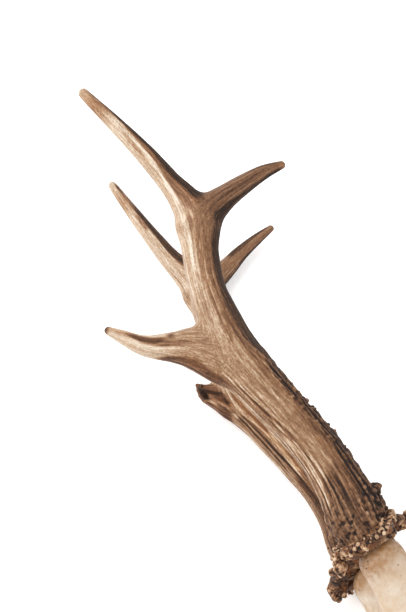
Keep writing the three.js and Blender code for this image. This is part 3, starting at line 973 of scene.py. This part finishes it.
def build_burr(data, settings, material):
    seed = BURR_SEEDS[data["name"]]
    burr = Burr(data, settings, seed)
    centres = np.array([row[0] for row in burr.lumps])
    points, quads = net_of(burr.field, centres.min(axis=0) - 6, centres.max(axis=0) + 6, settings.net_step)
    skin = Skin(f"{data['name']}_burr", points, quads, 1)
    skin.settle(burr.field, 2)
    rough = fractal(skin.points / 1.4, seed + 5, 3)
    pits = fractal(skin.points / 1.9, seed + 9, 2)
    skin.raise_by(0.6 * rough - 0.9 * smooth(pits, -0.3, -0.6))

    # Painted shade in the crevices between the lumps, and painted light on their tops.
    fine, coarse = skin.hollowness(2), skin.hollowness(16)
    mottle = fractal(skin.points / 3.4, seed + 15, 2)
    tone = settings.tone - np.clip(fine * 2, -0.14, 0.2) - np.clip(coarse * 0.95, -0.44, 0.3) + 0.34 * mottle
    tone -= RIGHT_BURR_DARKER * (data["name"] == "right")
    height, radius = about_axis(skin.points, burr.centre, burr.axis)
    under = smooth(height + mottle, 0.4, -1.4) * smooth(radius + mottle, 15.6, 13.6)
    tone += (0.36 + 0.25 * mottle - tone) * 0.8 * under
    warm = 0.45 + 0.4 * under + 0.3 * mottle
    skin.keep("tone", np.clip(tone, 0, 1))
    skin.keep("warmth", np.clip(warm, 0, 1))
    return skin.finish(material, [f"{data['name']}_lower_beam"])


# Skull cap

# Steps in a profile, and over how many of them its corners are rounded.
PROFILE_STEPS = 60
PROFILE_ROUNDING = 9
# A pedicle's stain is looked for within this distance of its axis.
STAIN_RADIUS = 20
UNSTAINED = 99.0


def outline_share(points, outline):
    """Each point's distance from an outline's middle, as a share of the outline's reach there."""
    offset = points[:, 0] - outline["middle"]
    front = offset < 0
    reach = np.where(front, outline["front"], outline["back"])
    blunt = np.where(front, outline["front_blunt"], outline["back_blunt"])
    along, across = np.abs(offset) / reach, np.abs(points[:, 2]) / outline["side"]
    return (along ** blunt + across ** blunt) ** (1 / blunt)


def dome_field(points, outline, profile):
    """Below 0 under a vault with the given outline and profile."""
    share = outline_share(points, outline)
    shares, heights = np.array(profile, float).T
    fine = np.linspace(0, 1, PROFILE_STEPS)
    rounded = np.interp(fine, shares, heights)
    kernel = np.hanning(PROFILE_ROUNDING) / np.hanning(PROFILE_ROUNDING).sum()
    edge = PROFILE_ROUNDING // 2
    rounded[edge:-edge] = np.convolve(rounded, kernel, "valid")
    level = points[:, 1] - SAWN_LEVEL
    steep = np.hypot(1, np.gradient(rounded, fine) / outline["side"])
    over = (level - np.interp(share, fine, rounded)) / np.interp(share, fine, steep)
    past = (share - 1) * outline["side"]
    return np.maximum(over, past)


class SkullCap:
    """The frontal bone with its two pedicles, sawn off flat."""

    def __init__(self):
        self.pedicles = []
        self.tops = []
        for data in (LEFT, RIGHT):
            axis = burr_axis(data)
            top = np.array(data["burr"]) - axis * PEDICLE_SUNK
            rows = [(x, y, side_of(data) * z, width, thick) for x, y, z, width, thick in PEDICLE]
            self.pedicles.append(Route(rows + [(*top, *PEDICLE_TOP)], flat_start=True))
            self.tops.append((top, axis))

    def field(self, points):
        whole = dome_field(points, CAP, CAP_PROFILE)
        for route in self.pedicles:
            whole = blend_fields(whole, route.field(points), PEDICLE_FILLET)
        whole = np.maximum(whole, -dome_field(points, HOLLOW, HOLLOW_PROFILE))
        return np.maximum(whole, SAWN_LEVEL - points[:, 1])

    def stain(self, points, normals):
        """How brown the bone is: stained round the burrs and up its back edge, and darker in the hollow, partly
        the inner bone's brown and partly painted shade.
        """
        near = np.full(len(points), UNSTAINED)
        for top, axis in self.tops:
            height, radius = about_axis(points, top, axis)
            near = np.where(radius < STAIN_RADIUS, np.minimum(near, -height), near)
        rim = 4 * fractal(points / 4.5, 221, 3)
        stain = 0.7 * smooth(near + rim, 15, 3) + 0.35 * smooth(near + 2 * rim, 28, 8)
        stain += 0.4 * smooth(near + rim, 16, 6) * smooth(points[:, 0] + rim, 2, -7)
        # Painted shade in the hollow under the vault, on faces that look down, partly also the inner bone's own
        # brown.
        inside = smooth(outline_share(points, HOLLOW), 1.05, 0.9)
        inside = inside * smooth(points[:, 1], SAWN_LEVEL + 0.3, SAWN_LEVEL + 3)
        stain += (0.5 + 0.25 * fractal(points / 7, 231, 3)) * inside * (normals[:, 1] < 0)
        back_edge = smooth(points[:, 0] + rim, 6, 11) * smooth(points[:, 1], -44, -30)
        return np.clip(stain + 0.5 * back_edge, 0, 1)


def build_skull_cap(settings, material):
    cap = SkullCap()
    points, quads = net_of(cap.field, *CAP_SPACE, settings.net_step)
    skin = Skin("skull_cap_bone", points, quads, 2)
    skin.settle(cap.field)
    points = skin.points
    flat = smooth(points[:, 1], SAWN_LEVEL + 0.2, SAWN_LEVEL + 1.2)
    seam = 1.1 * fractal(points / 1.8, 211, 2) + 1.6 * noise(points / 5, 215)
    suture = smooth(np.abs(points[:, 2] + seam), 0.75, 0.1) * smooth(points[:, 1], -62, -58)
    suture *= smooth(skin.normals[:, 1], -0.1, 0.3)
    swell = 0.35 * fractal(points / 11, 201, 2) + 0.12 * fractal(points / 3, 205, 2)
    along_bone = fractal(points / (2.2, 9, 2.2), 209, 2)
    skin.raise_by(flat * (swell + 0.1 * along_bone - 0.5 * suture))
    points = skin.points
    points[:, 1] = np.maximum(points[:, 1], SAWN_LEVEL)
    skin.points = points
    skin.keep("stain", cap.stain(points, skin.normals))
    skin.keep("sawn", smooth(points[:, 1], SAWN_LEVEL + 0.9, SAWN_LEVEL + 0.2))
    # Dark sutures, and painted shade in the creases where the bone lies below its surroundings.
    skin.keep("groove", np.clip(suture * flat + skin.hollowness(3) * 1.5, 0, 1))
    return skin.finish(material, ["skull_cap"])


# Pearls, the small grains that stand on the beam above the burr

PEARL_SEEDS = {"left": 11, "right": 12}
# The least and the greatest stretch of a pearl.
PEARL_SHAPES = ((0.8, 0.8, 0.7), (1.35, 1.2, 1.15))


def pearl_tree(material):
    """Scatters small lumps over a skin, more where its pearly attribute is high."""
    tree = bpy.data.node_groups.new("Pearls", "GeometryNodeTree")
    links = tree.links
    tree.interface.new_socket("Geometry", in_out="INPUT", socket_type="NodeSocketGeometry")
    for name, default in (("Density", 60000.0), ("Smallest", 0.5), ("Largest", 1.2), ("Seed", 1)):
        kind = "NodeSocketInt" if name == "Seed" else "NodeSocketFloat"
        tree.interface.new_socket(name, in_out="INPUT", socket_type=kind).default_value = default
    tree.interface.new_socket("Geometry", in_out="OUTPUT", socket_type="NodeSocketGeometry")

    def add(kind, settings=None, sockets=None):
        node = tree.nodes.new(kind)
        for key, value in (settings or {}).items():
            setattr(node, key, value)
        for key, value in (sockets or {}).items():
            if isinstance(value, bpy.types.NodeSocket):
                links.new(value, node.inputs[key])
            else:
                node.inputs[key].default_value = value
        return node

    given = add("NodeGroupInput")
    seed = given.outputs["Seed"]
    pearly = add("GeometryNodeInputNamedAttribute", {"data_type": "FLOAT"}, {"Name": "pearly"})
    amount = add(
        "ShaderNodeMath", {"operation": "MULTIPLY"},
        {0: pearly.outputs[0], 1: given.outputs["Density"]},
    )
    scatter = add(
        "GeometryNodeDistributePointsOnFaces", {"distribute_method": "RANDOM"},
        {"Mesh": given.outputs["Geometry"], "Density": amount.outputs[0], "Seed": seed},
    )
    ball = add("GeometryNodeMeshIcoSphere", None, {"Radius": 0.5, "Subdivisions": 2})
    lump = add("GeometryNodeSetShadeSmooth", None, {"Geometry": ball.outputs["Mesh"]})
    size = add(
        "FunctionNodeRandomValue", {"data_type": "FLOAT"},
        {2: given.outputs["Smallest"], 3: given.outputs["Largest"], "Seed": seed},
    )
    shape = add(
        "FunctionNodeRandomValue", {"data_type": "FLOAT_VECTOR"},
        {0: PEARL_SHAPES[0], 1: PEARL_SHAPES[1], "Seed": seed},
    )
    scaled = add(
        "ShaderNodeVectorMath", {"operation": "SCALE"},
        {"Vector": shape.outputs[0], "Scale": size.outputs[1]},
    )
    placed = add(
        "GeometryNodeInstanceOnPoints", None,
        {
            "Points": scatter.outputs["Points"], "Instance": lump.outputs["Geometry"],
            "Rotation": scatter.outputs["Rotation"], "Scale": scaled.outputs[0],
        },
    )
    real = add("GeometryNodeRealizeInstances", None, {"Geometry": placed.outputs["Instances"]})
    painted = add(
        "GeometryNodeSetMaterial", None,
        {"Geometry": real.outputs["Geometry"], "Material": material},
    )
    taken = add("NodeGroupOutput")
    links.new(painted.outputs["Geometry"], taken.inputs["Geometry"])
    return tree


def build_pearls(data, antler, sizes, material):
    """The pearls of one antler, scattered over its finished skin."""
    holder = link(bpy.data.objects.new("pearl_ground", antler.data))
    scatter = holder.modifiers.new("Pearls", "NODES")
    scatter.node_group = pearl_tree(material)
    given = {
        "Density": sizes.density,
        "Smallest": sizes.smallest * MILLIMETRE,
        "Largest": sizes.largest * MILLIMETRE,
        "Seed": PEARL_SEEDS[data["name"]],
    }
    for item in scatter.node_group.interface.items_tree:
        if item.name in given:
            scatter[item.identifier] = given[item.name]
    evaluated = holder.evaluated_get(bpy.context.evaluated_depsgraph_get())
    mesh = bpy.data.meshes.new_from_object(evaluated)
    bpy.data.objects.remove(holder)
    mesh.name = f"{data['name']}_pearls"
    place_piece(mesh)


# Materials

def by_identifier(sockets):
    return {socket.identifier: socket for socket in sockets}


class Value:
    """A socket among a material's nodes. Maths on it is written as Python and adds Math nodes."""

    def __init__(self, nodes, socket):
        self.nodes = nodes
        self.socket = socket

    def maths(self, operation, first, second):
        return self.nodes.add(
            "ShaderNodeMath", {"operation": operation}, {"Value": first, "Value_001": second})

    def __add__(self, other):
        return self.maths("ADD", self, other)

    def __radd__(self, other):
        return self.maths("ADD", other, self)

    def __sub__(self, other):
        return self.maths("SUBTRACT", self, other)

    def __rsub__(self, other):
        return self.maths("SUBTRACT", other, self)

    def __mul__(self, other):
        return self.maths("MULTIPLY", self, other)

    def __rmul__(self, other):
        return self.maths("MULTIPLY", other, self)

    def between(self, low, high):
        """0 where this is low, 1 where it is high and a smooth rise between. High may be the smaller one."""
        return self.nodes.add(
            "ShaderNodeMapRange", {"interpolation_type": "SMOOTHSTEP"},
            {"Value": self, "From Min": low, "From Max": high},
        )


class Nodes:
    """The nodes of one material."""

    def __init__(self, name):
        self.material = bpy.data.materials.new(name)
        self.material.use_nodes = True
        self.tree = self.material.node_tree
        self.tree.nodes.clear()

    def add(self, kind, settings=None, sockets=None, output=None):
        """A node of the given type. Its settings are made first, and then its sockets are set or linked."""
        node = self.tree.nodes.new(kind)
        for key, value in (settings or {}).items():
            if key == "stops":
                self.set_stops(node.color_ramp, value)
            else:
                setattr(node, key, value)
        inputs = by_identifier(node.inputs)
        for key, value in (sockets or {}).items():
            if isinstance(value, Value):
                self.tree.links.new(value.socket, inputs[key])
            else:
                inputs[key].default_value = value
        if not node.outputs:
            return None
        return Value(self, by_identifier(node.outputs)[output] if output else node.outputs[0])

    def set_stops(self, ramp, stops):
        while len(ramp.elements) > 1:
            ramp.elements.remove(ramp.elements[-1])
        ramp.elements[0].position, ramp.elements[0].color = stops[0]
        for place, colour in stops[1:]:
            ramp.elements.new(place).color = colour

    def number(self, name):
        """A number that is kept for each point."""
        return self.add("ShaderNodeAttribute", {"attribute_name": name}, output="Fac")

    def vector(self, name):
        """A vector that is kept for each point."""
        return self.add("ShaderNodeAttribute", {"attribute_name": name}, output="Vector")

    def object_place(self):
        """Places in millimetres."""
        place = self.add("ShaderNodeTexCoord", output="Object")
        return self.stretched(place, (1 / MILLIMETRE,) * 3)

    def stretched(self, place, factors):
        return self.add(
            "ShaderNodeVectorMath", {"operation": "MULTIPLY"}, {"Vector": place, "Vector_001": factors})

    def noise(self, place, scale=1.0, detail=3.0, roughness=0.5, distortion=0.0):
        """Noise around 0, mostly from -1 to 1."""
        grey = self.add(
            "ShaderNodeTexNoise", {"noise_dimensions": "3D", "normalize": True},
            {
                "Vector": place, "Scale": scale, "Detail": detail, "Roughness": roughness,
                "Distortion": distortion,
            },
        )
        return (grey - 0.5) * 3.0

    def cells(self, place, scale):
        """Distance to the nearest of scattered places, in cells."""
        return self.add("ShaderNodeTexVoronoi", {"feature": "F1"}, {"Vector": place, "Scale": scale})

    def ramp(self, tone, looks):
        """The colour of antler for each tone."""
        stops = [(place, opaque(getattr(looks, name))) for name, place in TONE_PLACES.items()]
        return self.add("ShaderNodeValToRGB", {"stops": stops}, {"Fac": tone})

    def mixed(self, factor, first, second, blend="MIX"):
        return self.add(
            "ShaderNodeMix", {"data_type": "RGBA", "blend_type": blend, "clamp_factor": True},
            {"Factor_Float": factor, "A_Color": first, "B_Color": second}, output="Result_Color",
        )

    def surface(self, colour, roughness, height, depth, **constants):
        """Ends the material in a shader, with bumps of up to the given depth in metres."""
        normal = self.add("ShaderNodeBump", None, {"Height": height, "Distance": depth, "Strength": 1.0})
        shader = self.add(
            "ShaderNodeBsdfPrincipled", None,
            {"Base Color": colour, "Roughness": roughness, "Normal": normal, **constants},
        )
        self.add("ShaderNodeOutputMaterial", None, {"Surface": shader})
        return self.material


def shade(red, green, blue):
    """A colour given from 0 to 255 as it shows on a screen."""
    parts = [value / 255 for value in (red, green, blue)]
    return tuple(p / 12.92 if p <= 0.04045 else ((p + 0.055) / 1.055) ** 2.4 for p in parts)


def opaque(colour):
    return (*colour, 1.0)


# Where each colour of antler stands between the darkest tone, 0, and the palest, 1.
TONE_PLACES = {"black": 0.0, "dark": 0.2, "brown": 0.4, "tan": 0.62, "pale": 0.8, "ivory": 1.0}
# Depths of the bumps in metres.
ANTLER_BUMPS = 0.00016
BURR_BUMPS = 0.0002
BONE_BUMPS = 0.00022
FLOOR_BUMPS = 0.00002


def antler_material(nodes, looks):
    share = nodes.number("tine_share")
    grains = [nodes.vector("grain"), nodes.vector("tine_grain")]

    def streaks(across, along, detail):
        """Noise that is drawn out along the beam, and on a tine along the tine."""
        cells = (across, across, along)
        beam, tine = (nodes.noise(nodes.stretched(grain, cells), 1, detail) for grain in grains)
        return beam * (1 - share) + tine * share

    fibre = streaks(0.85, 0.06, 3)
    fine = streaks(2.6, 0.3, 2)
    place = nodes.object_place()
    speck = nodes.noise(place, 0.9, 3, 0.65)
    mottle = nodes.noise(place, 0.16, 2)
    polish = nodes.number("polish")
    swirl = nodes.noise(place, 0.5, 2, 0.5, 1.4)
    curls = (swirl * swirl).between(0.07, 0) * (0.35 + (share * (1 - share)).between(0, 0.2) * 0.5)
    tone = nodes.number("tone") + fibre * 0.12 + fine * 0.2 + speck * 0.12 + mottle * 0.04
    tone = tone - curls * 0.13 + 0.02
    warm = nodes.number("warmth") + mottle * 0.12
    colour = nodes.mixed(warm, nodes.ramp(tone, looks), opaque(looks.warm_tint), "MULTIPLY")
    dark = nodes.number("tone").between(0.5, 0.15)
    roughness = 0.64 - polish * (1 - dark) * 0.3 + dark * 0.22 + speck * 0.06 + fine * 0.04
    height = fibre * 0.4 + fine * (0.7 - polish * 0.4) + speck * (0.5 - polish * 0.38) - curls * 0.4
    return nodes.surface(colour, roughness, height, ANTLER_BUMPS, **{"Specular IOR Level": 0.26})


def burr_material(nodes, looks):
    place = nodes.object_place()
    speck = nodes.noise(place, 1.1, 3, 0.6)
    mottle = nodes.noise(place, 0.35, 2)
    tone = nodes.number("tone") + speck * 0.07 + mottle * 0.06
    warm = nodes.number("warmth") + mottle * 0.2
    colour = nodes.mixed(warm, nodes.ramp(tone, looks), opaque(looks.warm_tint), "MULTIPLY")
    height = speck * 0.5 + mottle * 0.3
    return nodes.surface(colour, 0.55 + speck * 0.08, height, BURR_BUMPS, **{"Specular IOR Level": 0.3})


def bone_material(nodes, looks):
    place = nodes.object_place()
    cloud = nodes.noise(place, 0.11, 3)
    mottle = nodes.noise(place, 0.5, 4, 0.6)
    fibre = nodes.noise(nodes.stretched(place, (1.1, 0.28, 1.1)), 1, 3)
    speck = nodes.noise(place, 2.2, 2)
    # The stain attribute also holds painted shade in the hollow under the vault.
    stain = nodes.number("stain") * (1 + mottle * 0.5)
    # Dark sutures, and painted shade in the bone's creases.
    groove = nodes.number("groove")
    sawn = nodes.number("sawn")
    pitted = nodes.noise(place, 0.09, 1).between(-0.1, 0.5) + nodes.number("stain") * 0.8
    pits = nodes.cells(place, 0.42).between(0.2, 0.08) * pitted
    sponge = nodes.cells(place, 0.95).between(0.42, 0.2) * sawn
    yellowed = mottle.between(-0.1, 0.8) * 0.6 + fibre.between(0, 0.9) * 0.5
    pores = groove * 0.8 + pits * 0.55 + sponge * 0.7
    pale, deep, brown, dark = (
        opaque(part) for part in (looks.bone_pale, looks.bone_deep, looks.bone_stain, looks.bone_pore))
    colour = nodes.mixed(cloud.between(-0.6, 0.8), deep, pale)
    for amount, over in ((yellowed, deep), (stain * 0.8, brown), (pores, dark)):
        colour = nodes.mixed(amount, colour, over)
    height = mottle * 0.25 + speck * 0.15 + fibre * 0.3 - pits - sponge * 1.4
    return nodes.surface(colour, 0.55 + mottle * 0.06, height, BONE_BUMPS)


def floor_material(nodes, looks):
    cloud = nodes.noise(nodes.object_place(), 0.004, 2)
    pale = opaque(looks.floor)
    shaded = opaque(0.9 * part for part in looks.floor)
    colour = nodes.mixed(cloud.between(-1, 1) * 0.03, pale, shaded)
    glow = {"Emission Color": pale, "Emission Strength": 0.3}
    return nodes.surface(colour, 0.7, cloud, FLOOR_BUMPS, **glow)


MATERIALS = {
    "grained_antler": antler_material,
    "pearled_burr": burr_material,
    "weathered_bone": bone_material,
    "studio_floor": floor_material,
}


def made(name, looks):
    """A material by name, made when it is first asked for."""
    return bpy.data.materials.get(name) or MATERIALS[name](Nodes(name), looks)


# Sizes and colours that a user would change

def colour_property(name, description, default):
    return FloatVectorProperty(
        name=name, description=description, subtype="COLOR", size=3, min=0, max=1, default=default)


def size_property(name, description, default, low, high):
    """A size in millimetres."""
    return FloatProperty(
        name=name, description=f"{description}, in millimetres", default=default, min=low, max=high)


def share_property(name, description, default, high):
    return FloatProperty(
        name=name, description=description, default=default, min=0, max=high, subtype="FACTOR")


class AntlerLooks(bpy.types.PropertyGroup):
    """Colours of antler and bone, from the darkest stain to the palest crest."""

    black: colour_property("Black", "Deepest stains and grooves", shade(36, 27, 25))
    dark: colour_property("Dark", "Dark brown stains", shade(64, 44, 31))
    # Brown and the darker colours also show the painted shade in the antler's and the burrs' hollows.
    brown: colour_property("Brown", "Brown of the hollows", shade(106, 74, 51))
    tan: colour_property("Tan", "Tan of the beam", shade(145, 111, 82))
    pale: colour_property("Pale", "Pale tan of the tines", shade(183, 159, 134))
    # Ivory also paints the highlight streaks on the left antler's beam and front tine.
    ivory: colour_property("Ivory", "Ivory of worn crests and tips", shade(218, 208, 193))
    warm_tint: colour_property("Warm tint", "Multiplies the colour where it is warmest", (1.0, 0.73, 0.48))
    bone_pale: colour_property("Pale bone", "Clean bone", shade(213, 202, 188))
    bone_deep: colour_property("Deep bone", "Yellowed bone", shade(192, 167, 138))
    # Bone stain also paints shade in the hollow under the vault.
    bone_stain: colour_property("Bone stain", "Brown stain below the burr", shade(148, 102, 54))
    # Bone pore also paints shade in the bone's creases.
    bone_pore: colour_property("Bone pore", "Inside of pores and of the suture", shade(74, 50, 34))
    floor: colour_property("Floor", "Floor it lies on", (0.95, 0.95, 0.95))


class AntlerSizes(bpy.types.PropertyGroup):
    """Sizes of the two antlers."""

    net_step: size_property("Net step", "Width of the coarse mesh's squares", 2.0, 1, 4)
    levels: IntProperty(name="Levels", description="Subdivisions of the coarse mesh", default=2, min=0, max=3)
    fillet: size_property("Fork fillet", "Width of the fillet at a fork", 5.0, 1, 10)
    ridge_height: share_property("Ridge height", "Scale of the ridges and grain", 1.0, 2)


class BurrSizes(bpy.types.PropertyGroup):
    """Sizes and paleness of the burrs."""

    net_step: size_property("Net step", "Width of the mesh's squares", 0.75, 0.5, 2)
    pearls: IntProperty(name="Pearls", description="Lumps round a burr", default=84, min=12, max=120)
    tone: share_property("Tone", "How pale the burrs are between their crevices", 0.27, 1)
    merge: size_property("Merge", "How softly the lumps run together", 0.6, 0.1, 3)


class PearlSizes(bpy.types.PropertyGroup):
    """Sizes of the small pearls above the burrs."""

    density: FloatProperty(
        name="Density", description="Pearls to the square metre where they are closest", default=70000, min=0)
    smallest: size_property("Smallest", "Width of the smallest pearl", 0.7, 0.1, 5)
    largest: size_property("Largest", "Width of the largest pearl", 1.9, 0.1, 5)


class SkullSizes(bpy.types.PropertyGroup):
    """Size of the skull cap's mesh."""

    net_step: size_property("Net step", "Width of the coarse mesh's squares", 2.0, 1, 4)


class StageLooks(bpy.types.PropertyGroup):
    """Floor and lights."""

    floor_width: FloatProperty(
        name="Floor width", description="Width of the floor", default=6.0, min=1, unit="LENGTH")
    sky: FloatProperty(name="Sky", description="Strength of the soft light from all round", default=0.98, min=0)
    key_light: FloatProperty(
        name="Key light", description="Power of the large light", default=9.5, min=0, unit="POWER")
    fill_light: FloatProperty(
        name="Fill light", description="Power of the weak light", default=1.2, min=0, unit="POWER")


# Operators

class ANTLERS_OT_skull_cap(bpy.types.Operator):
    """Makes the sawn skull cap with its two pedicles"""

    bl_idname = "antlers.skull_cap"
    bl_label = "Make Skull Cap"

    def execute(self, context):
        scene = context.scene
        build_skull_cap(scene.skull_sizes, made("weathered_bone", scene.antler_looks))
        return {"FINISHED"}


class ANTLERS_OT_beams(bpy.types.Operator):
    """Makes both antlers from the burrs to the tips, and the pearls on them"""

    bl_idname = "antlers.beams"
    bl_label = "Make Antlers"

    def execute(self, context):
        scene = context.scene
        material = made("grained_antler", scene.antler_looks)
        for data in (LEFT, RIGHT):
            antler = build_antler(data, scene.antler_sizes, material)
            build_pearls(data, antler, scene.pearl_sizes, material)
        return {"FINISHED"}


class ANTLERS_OT_burrs(bpy.types.Operator):
    """Makes the knobbly rings at the feet of the antlers"""

    bl_idname = "antlers.burrs"
    bl_label = "Make Burrs"

    def execute(self, context):
        scene = context.scene
        for data in (LEFT, RIGHT):
            build_burr(data, scene.burr_sizes, made("pearled_burr", scene.antler_looks))
        return {"FINISHED"}


class ANTLERS_OT_stage(bpy.types.Operator):
    """Makes the floor, the lights and the camera"""

    bl_idname = "antlers.stage"
    bl_label = "Make Stage"

    def execute(self, context):
        scene = context.scene
        build_stage(scene.stage_looks, made("studio_floor", scene.antler_looks))
        return {"FINISHED"}


class ANTLERS_PT_maker(bpy.types.Panel):
    """Lists the makers of the antlers' pieces with their sizes, and the colours"""

    bl_idname = "ANTLERS_PT_maker"
    bl_label = "Roe Deer Antlers"
    bl_space_type = "VIEW_3D"
    bl_region_type = "UI"
    bl_category = "Antlers"

    def draw(self, context):
        for operator, names in MAKERS:
            box = self.layout.box()
            box.operator(operator.bl_idname)
            for name in names:
                self.list_group(box, context.scene, name)
        self.list_group(self.layout, context.scene, "antler_looks")

    def list_group(self, layout, scene, name):
        for key in GROUPS[name].__annotations__:
            layout.prop(getattr(scene, name), key)


# Stage

def build_stage(looks, material):
    half = looks.floor_width / 2
    corners = [(-half, -half, 0), (half, -half, 0), (half, half, 0), (-half, half, 0)]
    mesh = bpy.data.meshes.new("studio_floor")
    mesh.from_pydata(corners, [], [(0, 1, 2, 3)])
    mesh.materials.append(material)
    link(bpy.data.objects.new("studio_floor", mesh))

    turn = lie_matrix().to_3x3().normalized()
    forward = (turn @ Vector(CAMERA_FORWARD)).normalized()
    up = (turn @ Vector(CAMERA_UP)).normalized()
    right = forward.cross(up).normalized()
    up = right.cross(forward)
    facing = Matrix((right, up, -forward)).transposed().to_4x4()
    camera = link(bpy.data.objects.new("camera", bpy.data.cameras.new("camera")))
    camera.matrix_world = Matrix.Translation(lie_matrix() @ Vector(CAMERA_PLACE)) @ facing
    camera.data.sensor_fit = "VERTICAL"
    camera.data.sensor_height = FILM_HEIGHT
    camera.data.lens = CAMERA_LENS
    camera.data.clip_start = CAMERA_NEAR
    camera.data.dof.use_dof = False
    bpy.context.scene.camera = camera

    for name, (power, width, aside, above, nearer) in LIGHTS.items():
        lamp = bpy.data.lights.new(name, "AREA")
        lamp.energy = getattr(looks, power)
        lamp.size = width
        place = right * aside + up * above - forward * nearer
        towards = place.to_track_quat("Z", "Y").to_matrix().to_4x4()
        link(bpy.data.objects.new(name, lamp)).matrix_world = Matrix.Translation(place) @ towards

    world = bpy.data.worlds.new("studio")
    world.use_nodes = True
    background = world.node_tree.nodes["Background"]
    background.inputs["Color"].default_value = (1, 1, 1, 1)
    background.inputs["Strength"].default_value = looks.sky
    bpy.context.scene.world = world
    bpy.context.scene.view_settings.view_transform = "Standard"


# Registering and running

MAKERS = (
    (ANTLERS_OT_skull_cap, ["skull_sizes"]),
    (ANTLERS_OT_beams, ["antler_sizes", "pearl_sizes"]),
    (ANTLERS_OT_burrs, ["burr_sizes"]),
    (ANTLERS_OT_stage, ["stage_looks"]),
)
GROUPS = {
    "antler_looks": AntlerLooks,
    "antler_sizes": AntlerSizes,
    "burr_sizes": BurrSizes,
    "pearl_sizes": PearlSizes,
    "skull_sizes": SkullSizes,
    "stage_looks": StageLooks,
}
CLASSES = (*GROUPS.values(), *(operator for operator, _ in MAKERS), ANTLERS_PT_maker)


def register():
    for cls in CLASSES:
        bpy.utils.register_class(cls)
    for name, group in GROUPS.items():
        setattr(bpy.types.Scene, name, PointerProperty(type=group))


def unregister():
    for name in GROUPS:
        delattr(bpy.types.Scene, name)
    for cls in reversed(CLASSES):
        bpy.utils.unregister_class(cls)


def main():
    register()
    bpy.ops.antlers.skull_cap()
    bpy.ops.antlers.beams()
    bpy.ops.antlers.burrs()
    bpy.ops.antlers.stage()
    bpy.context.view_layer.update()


if __name__ == "__main__":
    main()
